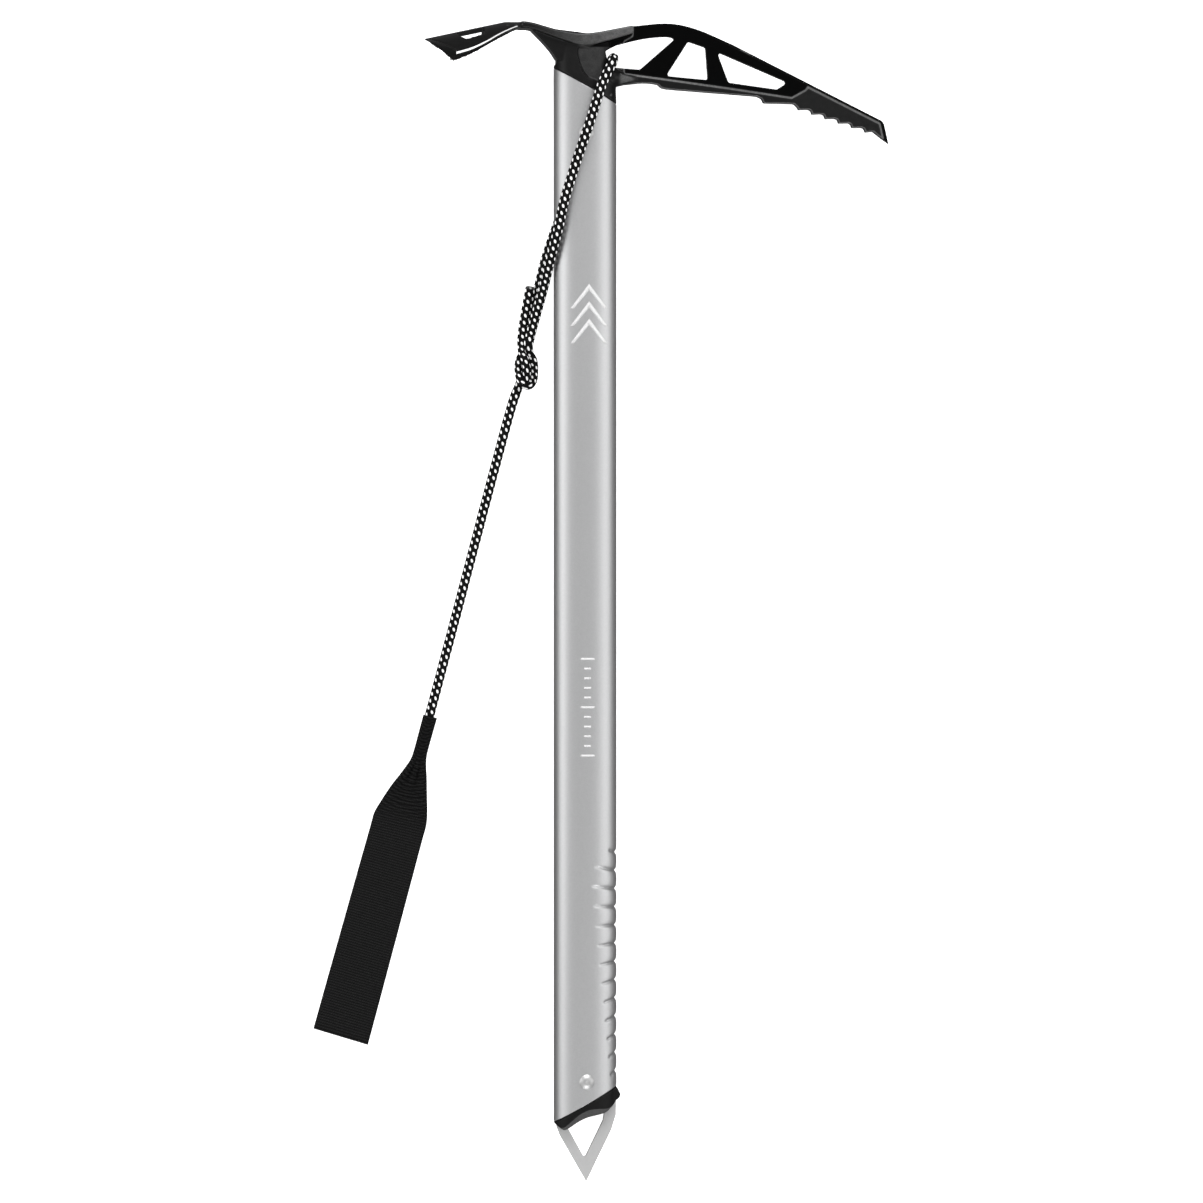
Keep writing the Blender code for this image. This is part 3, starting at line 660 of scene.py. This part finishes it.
def groove_depth(x, y):
    """How far the skin is pressed in at a place on the pick side."""
    if x < 0:
        return 0.0
    number = min(max(round((GROOVE_TOP - y) / GROOVE_PITCH), 0), GROOVE_COUNT - 1)
    deepest = 0.0
    for near in (number - 1, number, number + 1):
        if not 0 <= near < GROOVE_COUNT:
            continue
        edge_y, inner_x, slope = groove(near)
        away = y - (edge_y + slope * (GROOVE_EDGE - x))
        short = min((GROOVE_EDGE - inner_x) / 9.0, 1.0)
        half = CREASE_HALF * (1.7 - 0.7 * short)
        crease = CREASE_DEPTH * ramp(x, inner_x - 0.7, inner_x + 1.0) * math.exp(-(away / half) ** 2)
        lobe = 0.0
        if abs(away) < GROOVE_PITCH / 2:
            share = 1 - abs(math.sin(math.pi * away / GROOVE_PITCH))
            lobe = LOBE_DEPTH * share ** 1.6 * ramp(x, inner_x + 1.0, SHAFT_HALF_WIDTH + 1.5)
        deepest = max(deepest, crease + lobe)
    return deepest


def shaft_ring(level, half_width, half_depth, sides, pressed=False):
    """One ring of the shaft's skin. level(x) gives its height."""
    ring = []
    for x, z in oval(half_width, half_depth, sides):
        y = level(x)
        depth = groove_depth(x, y) if pressed else 0.0
        length = math.hypot(x / half_width ** 2, z / half_depth ** 2)
        ring.append((x - depth * x / half_width ** 2 / length, y, z - depth * z / half_depth ** 2 / length))
    return ring


def make_shaft(finish):
    sides = 144
    width, depth = SHAFT_HALF_WIDTH, SHAFT_HALF_DEPTH
    rings = [shaft_ring(lambda x: spike_cut(x), width - 0.25, depth - 0.25, sides),
             shaft_ring(lambda x: spike_cut(x) + 0.25, width, depth, sides),
             shaft_ring(lambda x: spike_cut(x) + 0.5, width, depth, sides),
             shaft_ring(lambda x: spike_cut(x) + 1.5, width, depth, sides)]
    low, high = 52.0, GROOVE_TOP + 6.0
    count = round((high - low) / 0.4)
    levels = [low + (high - low) * step / count for step in range(count + 1)]
    levels += [high + (550.0 - high) * step / 30 for step in range(1, 31)]
    for y in levels:
        rings.append(shaft_ring(lambda x: y, width, depth, sides, pressed=y < high))
    for below in (1.5, 0.5, 0.25):
        rings.append(shaft_ring(lambda x: head_cut(x) - below, width, depth, sides))
    rings.append(shaft_ring(lambda x: head_cut(x), width - 0.25, depth - 0.25, sides))
    inner = (width - SHAFT_WALL, depth - SHAFT_WALL, sides)
    rings.append(shaft_ring(lambda x: head_cut(x), *inner))
    for y in (550.0, 300.0, 60.0):
        rings.append(shaft_ring(lambda x: y, *inner))
    rings.append(shaft_ring(lambda x: spike_cut(x), *inner))
    source = loft("shaft_skin", rings, closed_tube=True)
    mesh = evaluated(source)
    remove([source])
    made = piece("shaft_tube", mesh, finish, "axe", ("shaft",))
    mesh.set_sharp_from_angle(angle=math.radians(50))
    return made


def make_rivet(name, node, centre, finish):
    """A rivet with a domed head on each face. Each dome sits on a thin rolled rim."""
    seat = SHAFT_HALF_DEPTH + 0.02
    profile = [(2.2, 0.0), (2.2, seat), (RIVET_HEAD_RADIUS, seat), (RIVET_HEAD_RADIUS, seat + 0.25)]
    for step in range(1, 15):
        radius = RIVET_HEAD_RADIUS * (1 - step / 14.5)
        dome = (RIVET_HEAD_HEIGHT - 0.25) * (1 - (radius / RIVET_HEAD_RADIUS) ** 2)
        dimple = RIVET_DIMPLE * math.exp(-(radius / 0.9) ** 2)
        profile.append((radius, seat + 0.25 + dome - dimple))
    full = [(radius, -z) for radius, z in reversed(profile[1:])] + profile
    source = turned(name, centre, full)
    mesh = evaluated(source)
    remove([source])
    made = piece(name, mesh, finish, "axe", (node,))
    mesh.set_sharp_from_angle(angle=math.radians(40))
    return made


def bar(start, end, width):
    """The outline of a straight stroke."""
    run = (Vector(end) - Vector(start)).normalized()
    out = Vector((-run.y, run.x)) * width / 2
    return [Vector(start) - out, Vector(end) - out, Vector(end) + out, Vector(start) + out]


def make_marks(finish):
    """Plain printed shapes: three nested peaks near the head and a row of tick lines lower down."""
    strokes = []
    for rise, reach in ((0, 8.5), (9, 8.5), (18, 8.5)):
        strokes.append([(-reach, 434.0 + rise), (-reach + 1.9, 434.0 + rise), (1.2, 443.5 + rise),
                        (reach + 0.5, 434.0 + rise), (reach + 2.4, 434.0 + rise), (1.2, 446.8 + rise)])
    for number in range(TICK_COUNT):
        reach = 3.6 if number % 5 == 0 else 1.8
        y = TICK_FIRST + TICK_PITCH * number
        strokes.append(bar((0.4 - reach, y), (0.4 + reach, y), 1.1))
    mesh = bpy.data.meshes.new("marks")
    shell = bmesh.new()
    for number, outline in enumerate(strokes):
        source = slab(f"stroke_{number}", outline, 2, 20)
        shell.from_mesh(source.data)
        remove([source])
    shell.to_mesh(mesh)
    shell.free()
    skin = oval_bar("ink_skin", SHAFT_HALF_WIDTH + INK_THICK, SHAFT_HALF_DEPTH + INK_THICK,
                    lambda x: 200.0, lambda x: 500.0)
    core = oval_bar("ink_core", SHAFT_HALF_WIDTH, SHAFT_HALF_DEPTH, lambda x: 190.0, lambda x: 510.0)
    mesh = combine(guide("marks", mesh), [("INTERSECT", skin), ("DIFFERENCE", core)])
    piece("printed_marks", mesh, finish, "axe")


# ================================================================ the head
def pick_outline():
    """Side view of the pick, from inside the boss out along its top edge and back below."""
    top = [(8, 594.0)] + smooth_through([(23.7, 598.4), (43, 600.0), (58, 597.1), (76.6, 589.4)], 10)
    nose = [(154.9, 550.3), (156.1, 548.7), PICK_TIP, (150.1, 544.7)]
    teeth = []
    for number in range(TOOTH_COUNT):
        tip = Vector(TOOTH_FIRST) + number * Vector(TOOTH_STEP)
        teeth.append(tip)
        if number < TOOTH_COUNT - 1:
            hollow = [tip + Vector(step) for step in ((-0.15, 0.8), (-0.3, 1.4), (-0.95, 2.2), (-2.1, 2.5))]
            teeth += hollow
    heel = [(110.7, 556.9)] + smooth_through([(109.2, 558.3), (107.4, 558.8), (92.9, 559.0)], 5)
    heel += smooth_through([(91.9, 561.3), (89.3, 562.5)], 4)
    rail = smooth_through([(57.6, 564.8), (41.2, 566.2), (37.5, 568.3), (31.1, 569.0), (23.7, 568.6)], 6)
    return top + nose + teeth + heel + rail + [(8, 566.5)]


def windows():
    """The three openings between the boss and the solid part of the pick."""
    eye = smooth_through([(16.3, 588.6), (30, 591.9), (41.5, 593.1), (46.8, 592.2)], 6)
    eye += rounded([(47.3, 591.8), (28.5, 575.6), (11.4, 576.8), (9.4, 586.0)], 1.4)[7:]
    middle = rounded([(53.6, 590.6), (62.5, 587.6), (63.8, 571.0), (42.2, 572.9)], 0.9)
    front = rounded([(68.7, 585.4), (105.3, 569.9), (99.8, 566.3), (74.6, 569.7)], 0.9)
    return [eye, middle, front]


def pocket(name, side):
    """Cuts the pick thinner above its lower rail. Its lower wall slopes, so the rail shows a bevel."""
    floor_line = [(20, 574.2), (41.7, 571.4), (76.6, 566.7), (107.4, 562.3), (114.5, 566.2), (118.5, 573.0)]
    rim_line = [(20, 573.2), (41.7, 570.4), (76.6, 565.7), (107.5, 561.2), (115.4, 565.6), (119.8, 573.0)]
    top = [(76.6, 592.0), (58, 601.0), (43, 604.0), (25.0, 602.0), (24.4, 593.0), (20, 590.5)]
    rings = []
    for line, z in ((floor_line, WEB_HALF), (rim_line, PICK_HALF + 0.1), (rim_line, 12.0)):
        rings.append([(x, y, side * z) for x, y in line + top])
    return loft(name, rings)


def chamfer(name, start, end, depth, height, side):
    """A wedge that bevels the pick's edge from start to end on one side (+1 or -1) in z."""
    run = (Vector(end) - Vector(start)).normalized()
    out = Vector((-run.y, run.x))
    rings = []
    for point in (Vector(start) - run * 4, Vector(end) + run * 4):
        ring = []
        inner = PICK_HALF - depth * (4 + height) / height
        outer = PICK_HALF + 6
        for away, z in ((-height, PICK_HALF), (4, inner), (4, outer), (-height, outer)):
            place = point + out * away
            ring.append((place.x, place.y, side * z))
        rings.append(ring)
    return loft(name, rings)


ADZE_EDGE_CURVE = smooth_through([(x, y) for x, y in ADZE_EDGE], 8)


def adze_crest(x):
    """Height of the adze's ridge in the mid-plane."""
    if x > -41.7:
        return 600.3
    return 600.3 + (x + 41.7) * 0.216


def adze_half_width(x):
    along = min(max((ADZE_ROOT_X - x) / 33.0, 0), 1)
    return PALM_HALF_WIDTH + (ADZE_HALF_WIDTH - PALM_HALF_WIDTH) * math.sin(along * math.pi / 2)


def adze_edge(x):
    """Height of the adze's upper side at its two side edges."""
    for start, end in zip(ADZE_EDGE_CURVE, ADZE_EDGE_CURVE[1:]):
        if x <= end.x:
            break
    return start.lerp(end, (x - start.x) / (end.x - start.x)).y


def make_adze(columns=48, half_rows=18):
    """The arched blade, ground thin at its front edge."""
    rings = []
    for column in range(columns + 1):
        along = column / columns
        upper = []
        lower = []
        for row in range(-half_rows, half_rows + 1):
            across = row / half_rows
            tip_x = ADZE_TIP_X + ADZE_SET_BACK * abs(across) ** 1.5
            x = ADZE_ROOT_X + (tip_x - ADZE_ROOT_X) * along
            drop = max(adze_crest(x) - adze_edge(x), 0.3)
            z = adze_half_width(x) * across
            y = adze_crest(x) - drop * across ** 2
            tip_thick = 0.7 + 1.4 * across ** 2
            thick = ADZE_THICK + (tip_thick - ADZE_THICK) * max(along - 0.85, 0) / 0.15
            thick -= 0.9 * across ** 2 * (1 - max(along - 0.85, 0) / 0.15)
            thick += ramp(x, -42.0, ADZE_ROOT_X) * (1.2 - 2.0 * across ** 2)
            upper.append((x, y, z))
            lower.append((x, y - thick, z))
        rings.append(upper + lower[::-1])
    return loft("adze_blade", rings)


def make_adze_edges(finish):
    """A painted highlight along each side of the adze: a thin near-white strip that fades out at the neck."""
    for side, name in ((1, "adze_edge_front"), (-1, "adze_edge_rear")):
        rings = []
        for step in range(41):
            x = PAINTED_HIGHLIGHT_EDGE[0] + (PAINTED_HIGHLIGHT_EDGE[1] - PAINTED_HIGHLIGHT_EDGE[0]) * step / 40
            tall = 1.1 - 0.75 * step / 40
            y = adze_edge(x)
            z = adze_half_width(x)
            section = ((y + 0.10, z - 0.45), (y + 0.10, z - 0.10),
                       (y - tall, z + 0.13), (y - tall, z - 0.45))
            rings.append([(x, height, side * out) for height, out in section])
        source = loft(name, rings)
        mesh = evaluated(source)
        remove([source])
        made = piece(name, mesh, finish, "axe")
        made.data.set_sharp_from_angle(angle=math.radians(40))


def oval_bar(name, half_width, half_depth, low, high, top_depth=None, sides=96):
    rings = [[(x, low(x), z) for x, z in oval(half_width, half_depth, sides)],
             [(x, high(x), z) for x, z in oval(half_width, top_depth or half_depth, sides)]]
    return loft(name, rings)


def make_head(finish):
    """The forging: pick, boss, palm rest and adze, joined, cut and then remeshed."""
    head = plate("pick_plate", [pick_outline()], PICK_HALF, 0.35, 0)
    collar = oval_bar("collar", SHAFT_HALF_WIDTH, SHAFT_HALF_DEPTH,
                      lambda x: head_cut(x) + 0.3, lambda x: 592.0, BOSS_TOP_HALF)
    side = [(-16.5, 560.0), (-16.3, 577.6), (-15.2, 578.8), (-15.2, 581.0), (-17, 584), (-17, 600),
            (11.0, 600.0), (13.6, 580.0), (16.4, 574.0), (15.8, 565.0), (16.8, 550.0), (0, 550)]
    collar = guide("collar_cut", combine(collar, [("INTERSECT", slab("collar_side", side, -20, 20))]))

    gusset = [(-28.9, 598.0), (-28.9, 596.8)]
    gusset += smooth_through([(-26.9, 594.7), (-21.8, 589.5), (-17.8, 584.8), (-15.2, 580.8)], 8)
    gusset += [(-10, 579), (4, 588), (4, 594)]

    palm_top = smooth_through([(-34, 600.3), (-28, 599.6), (-13, 595.6), (1, 594.3), (24.2, 598.5)], 10)
    palm_low = smooth_through([(24.2, 594.4), (10.5, 590.3), (-1.0, 588.0), (-14, 591.4), (-28, 596.2),
                               (-34, 596.6)], 4)

    arm = []
    sections = ((6, 572.5, 6.0, 8.6), (15, 571.8, 5.0, 7.2), (20, 571.2, 3.3, 5.2), (27, 570.9, 2.2, 3.4))
    for x, y, tall, deep in sections:
        ring = []
        for index in range(40):
            angle = math.tau * index / 40
            ring.append((x, y + tall * math.cos(angle), deep * math.sin(angle)))
        arm.append(ring)

    steps = [("UNION", collar),
             ("UNION", slab("gusset", gusset, -6.5, 6.5)),
             ("UNION", plate("palm", [palm_top + palm_low], PALM_HALF_WIDTH, 1.0, 2)),
             ("UNION", loft("arm", arm)),
             ("UNION", make_adze()),
             ("UNION", oval_bar("tang", INSIDE_HALF_WIDTH, INSIDE_HALF_DEPTH,
                                lambda x: HEAD_CUT - TANG_LENGTH, lambda x: head_cut(x) + 5))]
    for number, outline in enumerate(windows()):
        steps.append(("DIFFERENCE", slab(f"window_{number}", outline, -30, 30)))
    for side in (-1, 1):
        steps.append(("DIFFERENCE", pocket(f"pocket_{side}", side)))
        facet = smooth_through([(-4.6, 587.0), (-4.4, 582.3), (-2.3, 575.7), (0.4, 571.7), (6, 569.3)], 6)
        facet += [(9, 569.3), (9, 587.2)]
        floor = [(x, y, side * (FACET_LEVEL + FACET_TILT * x)) for x, y in facet]
        roof = [(x, y, side * 14.0) for x, y in facet]
        steps.append(("DIFFERENCE", loft(f"facet_{side}", [floor, roof])))
        top = chamfer(f"top_chamfer_{side}", (64, 595.5), (154.9, 550.3), 1.4, 2.6, side)
        steps.append(("DIFFERENCE", top))
        tip = chamfer(f"tip_chamfer_{side}", (156.1, 548.7), PICK_TIP, 1.9, 3.0, side)
        steps.append(("DIFFERENCE", tip))
        hole = [(point.x, side * point.y) for point in rounded(ADZE_HOLE, 1.2)]
        hole_ends = [[(x, y, z) for x, z in hole] for y in (580, 610)]
        steps.append(("DIFFERENCE", loft(f"adze_hole_{side}", hole_ends)))
    mesh = forged("head_forging", combine(head, steps), VOXEL, 3)
    return piece("head_forging", mesh, finish, "axe", ("head",))


# ================================================================ the spike and its plug
def make_spike(finish):
    left = [(0.5, 0.0), (-13.0, 23.6), (-14.9, 28.5), (-14.0, 33.0), (-8.0, 40.0), (-8.0, 76.0)]
    right = [(8.0, 76.0), (8.0, 52.0), (14.6, 47.0), (16.0, 43.0), (15.9, 34.5), (13.5, 26.7)]
    hole = rounded([(-0.4, 12.2), (9.0, 31.5), (9.8, 37.2), (0.6, 34.6), (-9.4, 28.6)], 0.8)
    source = plate("spike_plate", [left + right, hole], 1.75, 0.3, 2)
    mesh = evaluated(source)
    remove([source])
    made = piece("spike_plate", mesh, finish, "axe", ("spike",))
    mesh.set_sharp_from_angle(angle=math.radians(30))
    return made


def make_plug(finish):
    body = oval_bar("plug_body", SHAFT_HALF_WIDTH + 0.1, SHAFT_HALF_DEPTH + 0.1, lambda x: 20.0,
                    lambda x: spike_cut(x) - 0.3)
    low_edge = smooth_through([(-16.6, 31.0), (-14.5, 28.8), (-11.4, 26.9), (-8.3, 28.2), (-3.6, 31.3),
                               (1, 33.4), (5.7, 34.5), (10.4, 36.0), (13.5, 39.1), (17.0, 43.0)], 6)
    rings = []
    for z, rise in ((-14.0, PLUG_BEVEL * 8.0), (-6.0, 0.0), (6.0, 0.0), (14.0, PLUG_BEVEL * 8.0)):
        rings.append([(x, y + rise, z) for x, y in low_edge] + [(17.0, 70.0, z), (-16.6, 70.0, z)])
    side = loft("plug_side", rings)
    lip_outline = [(11, 43.4), (16.2, 49.0), (18.1, 45.2), (17.4, 43.4), (13, 40.0)]
    lip = loft("plug_lip", [[(x, y, -z) for x, y in lip_outline] for z in (5.2, -5.2)])
    insert = oval_bar("plug_insert", INSIDE_HALF_WIDTH, INSIDE_HALF_DEPTH,
                      lambda x: spike_cut(x) - 2.5, lambda x: spike_cut(x) + 8.0)
    slot_outline = [(-17, 20), (17, 20), (17, 47), (8.5, 47), (8.5, 70), (-8.5, 70), (-8.5, 36), (-17, 36)]
    slot = slab("plug_slot", slot_outline, -2.0, 2.0)
    mesh = combine(body, [("INTERSECT", side), ("UNION", insert), ("UNION", lip), ("DIFFERENCE", slot)])
    mesh = forged("plug", mesh, 0.35, 3)
    return piece("end_plug", mesh, finish, "axe", ("spike_plug",))


# ================================================================ the cord
def squeeze(point):
    """How much thinner the cord is where the knot presses it."""
    near = 1 - ramp((point - KNOT_CENTRE).length, 9.0, 15.0)
    return 1 - (1 - KNOT_SQUEEZE) * near


def make_cord():
    """One continuous cord, from the sleeve through the knot and the eye and back into the knot."""
    route = LEAD + KNOT_IN + STRANDS + KNOT_WRAPS + TAIL
    line = evenly(smooth_through(route, 60), CORD_STEP)
    length = sum((b - a).length for a, b in zip(line, line[1:]))
    shell = bmesh.new()
    uv = shell.loops.layers.uv.new("UVMap")
    normal = Vector((0, 0, 1))
    rings = []
    for index, point in enumerate(line):
        ahead = line[min(index + 1, len(line) - 1)] - line[max(index - 1, 0)]
        normal = (normal - ahead.normalized() * normal.dot(ahead.normalized())).normalized()
        side = normal.cross(ahead.normalized())
        along = length * index / (len(line) - 1)
        radius = CORD_DIAMETER / 2 * squeeze(point)
        if along < IN_SLEEVE:
            radius *= 0.62 + 0.38 * ramp(along, IN_SLEEVE / 2, IN_SLEEVE)
        from_end = length - along
        if from_end < 1.0:
            radius *= math.sqrt(1 - (1 - from_end) ** 2 * 0.45)
        ring = []
        for number in range(CORD_SIDES):
            turn = number / CORD_SIDES + TWIST / FLECK_ROWS
            p = along / FLECK_PITCH + turn * FLECK_ROWS / 2
            q = along / FLECK_PITCH - turn * FLECK_ROWS / 2
            tracer = (math.cos(math.pi * p) * math.cos(math.pi * q)) ** 2
            yarn = abs(math.sin(math.tau * p) * math.sin(math.tau * q))
            reach = radius * (0.965 + 0.03 * tracer + 0.035 * yarn)
            angle = math.tau * number / CORD_SIDES
            ring.append(shell.verts.new(point + (side * math.cos(angle) + normal * math.sin(angle)) * reach))
        rings.append(ring)
    shell.verts.index_update()
    for index, (lower, upper) in enumerate(zip(rings, rings[1:])):
        v0 = length * index / (len(line) - 1)
        v1 = length * (index + 1) / (len(line) - 1)
        for number in range(CORD_SIDES):
            after = (number + 1) % CORD_SIDES
            face = shell.faces.new((lower[number], lower[after], upper[after], upper[number]))
            u0 = number / CORD_SIDES + TWIST / FLECK_ROWS
            u1 = (number + 1) / CORD_SIDES + TWIST / FLECK_ROWS
            for loop, place in zip(face.loops, ((u0, v0), (u1, v0), (u1, v1), (u0, v1))):
                loop[uv].uv = place
    for ring, v in ((rings[0], 0.0), (rings[-1], length)):
        cap = shell.faces.new(ring)
        for loop in cap.loops:
            loop[uv].uv = (0.0, v)
    mesh = mesh_from("leash_cord", shell)
    made = piece("leash_cord", mesh, braided_cord(length), "leash",
                 ("leash_cord_strands", "leash_cord_tail", "leash_cord_lead", "leash_knot"))
    return made


# ================================================================ the wrist loop
def make_webbing(finish):
    """One strip of webbing, folded double at its far end and gathered round the cord at the near one."""
    left = smooth_through(LOOP_LEFT, 12)
    right = smooth_through(LOOP_RIGHT, 12)
    middle = [(a + b) / 2 for a, b in zip(left, right)]
    travelled = [0.0]
    for a, b in zip(middle, middle[1:]):
        travelled.append(travelled[-1] + (b - a).length)
    total = travelled[-1]
    half_rows = 14
    steps = 330

    def station(distance):
        index = 0
        while index < len(travelled) - 2 and travelled[index + 1] < distance:
            index += 1
        share = (distance - travelled[index]) / (travelled[index + 1] - travelled[index])
        return left[index].lerp(left[index + 1], share), right[index].lerp(right[index + 1], share)

    fold = 4.0
    rows = []
    for step in range(steps + 1):
        t = 2 * step / steps - 1                # -1 where the upper layer starts, 0 at the fold, 1 at the end
        distance = total * (1 - abs(t))
        a, b = station(distance)
        width = (b - a).length
        layer = math.copysign(1.0, -t) if t else 0.0
        from_fold = total - distance
        lift = layer * min(math.sqrt(max(1 - max(1 - from_fold / fold, 0) ** 2, 0)), 1.0)
        gather = 1 - ramp(width, 7.0, 27.0)
        tube = 1 - ramp(distance, 18.0, 30.0)
        row = []
        for number in range(-half_rows, half_rows + 1):
            across = number / half_rows
            flat = 0.92 * lift
            pleat = gather * (1 - tube) * 1.0 * math.cos(3.0 * math.pi * across + 0.6 * layer) * layer
            wrapped = layer * 2.55 * math.sqrt(max(1 - across ** 2, 0))
            belly = 0.35 * layer * (1 - across ** 2) * (1 - gather) * min(from_fold / 20, 1)
            z = 2.75 + (1 - tube) * (flat + pleat + belly) + tube * wrapped
            place = a.lerp(b, (across * (1 - 0.14 * tube) + 1) / 2)
            row.append((place.x, place.y, z, across * 15, distance))
        rows.append(row)

    shell = bmesh.new()
    uv = shell.loops.layers.uv.new("UVMap")
    grid = [[shell.verts.new(point[:3]) for point in row] for row in rows]
    for i in range(steps):
        for j in range(2 * half_rows):
            corners = ((i, j), (i + 1, j), (i + 1, j + 1), (i, j + 1))
            face = shell.faces.new([grid[r][c] for r, c in corners])
            for loop, (r, c) in zip(face.loops, corners):
                loop[uv].uv = (rows[r][c][3], rows[r][c][4])
    mesh = bpy.data.meshes.new("webbing_strip")
    shell.to_mesh(mesh)
    shell.free()
    made = piece("webbing_strip", mesh, finish, "leash", ("wrist_loop", "leash_sleeve"))
    thick = made.modifiers.new("thickness", "SOLIDIFY")
    thick.thickness = WEBBING_THICK * MM
    thick.offset = 0
    return made


# ================================================================ camera, light and floor
def make_camera():
    data = bpy.data.cameras.new("camera")
    data.sensor_width = 36.0
    data.lens = 36.0 * CAMERA_DISTANCE / FRAME_WIDTH
    data.clip_start = 0.05
    data.clip_end = 100.0
    made = bpy.data.objects.new("camera", data)
    scene.collection.objects.link(made)
    made.location = (*FRAME_CENTRE, SHAFT_LEVEL + CAMERA_DISTANCE)
    scene.camera = made


def softbox(name, location, target, width, height, power):
    data = bpy.data.lights.new(name, "AREA")
    data.shape = "RECTANGLE"
    data.size = width
    data.size_y = height
    data.energy = power
    made = bpy.data.objects.new(name, data)
    scene.collection.objects.link(made)
    made.location = location
    aim = Vector(target) - Vector(location)
    made.rotation_euler = aim.to_track_quat("-Z", "Y").to_euler()
    return made


def make_stage():
    bpy.ops.mesh.primitive_plane_add(size=24, location=(0, 0, -0.0002))
    ground = bpy.context.object
    ground.name = "studio_floor"
    ground.data.materials.append(pale_floor())
    ground.visible_glossy = False
    world = bpy.data.worlds.new("studio")
    scene.world = world
    world.use_nodes = True
    tree = world.node_tree
    background = tree.nodes["Background"]
    where = tree.nodes.new("ShaderNodeTexCoord")
    split = tree.nodes.new("ShaderNodeSeparateXYZ")
    tree.links.new(where.outputs["Generated"], split.inputs[0])
    level = tree.nodes.new("ShaderNodeMapRange")
    level.interpolation_type = "SMOOTHSTEP"
    level.inputs[1].default_value = -0.25
    level.inputs[2].default_value = 0.25
    level.inputs[3].default_value = LIGHT_FROM_BELOW
    level.inputs[4].default_value = LIGHT_FROM_ABOVE
    tree.links.new(split.outputs[2], level.inputs[0])
    tree.links.new(level.outputs[0], background.inputs["Strength"])
    background.inputs["Color"].default_value = (1, 1, 1, 1)
    softbox("left_softbox", (-1.7, 0.25, 1.15), (0, 0, 0), 1.6, 1.3, 9)
    softbox("right_softbox", (1.7, 0.1, 1.15), (0, 0, 0), 1.6, 1.3, 7.5)
    softbox("head_softbox", (0.1, 1.9, 1.3), (0, 0.1, 0), 1.4, 0.8, 34)
    softbox("foot_softbox", (0.1, -1.9, 1.3), (0, -0.1, 0), 1.4, 0.8, 16)
    softbox("overhead_softbox", (0.0, 0.0, 2.6), (0, 0, 0), 1.6, 1.6, 16).visible_glossy = False


def main():
    scene.view_settings.view_transform = "Standard"
    make_camera()
    make_cord()
    make_stage()
    make_webbing(ribbed_webbing())
    make_shaft(anodised())
    polished = bare_steel("polished_steel", 0.56, 0.46, 1.0)
    make_rivet("head_rivet_domes", "head_rivet", HEAD_RIVET, polished)
    make_rivet("spike_rivet_domes", "spike_rivet", SPIKE_RIVET, polished)
    make_head(black_coating())
    make_spike(bare_steel("brushed_steel", 0.46, 0.42, 0.35, (6, 1, 1)))
    # painted highlight: near-white steel for the strips along the adze's sides
    make_adze_edges(bare_steel("painted_highlight_steel", 0.95, 0.3, 0.5, (1, 6, 1)))
    make_marks(white_ink())
    make_plug(moulded_plastic())


main()
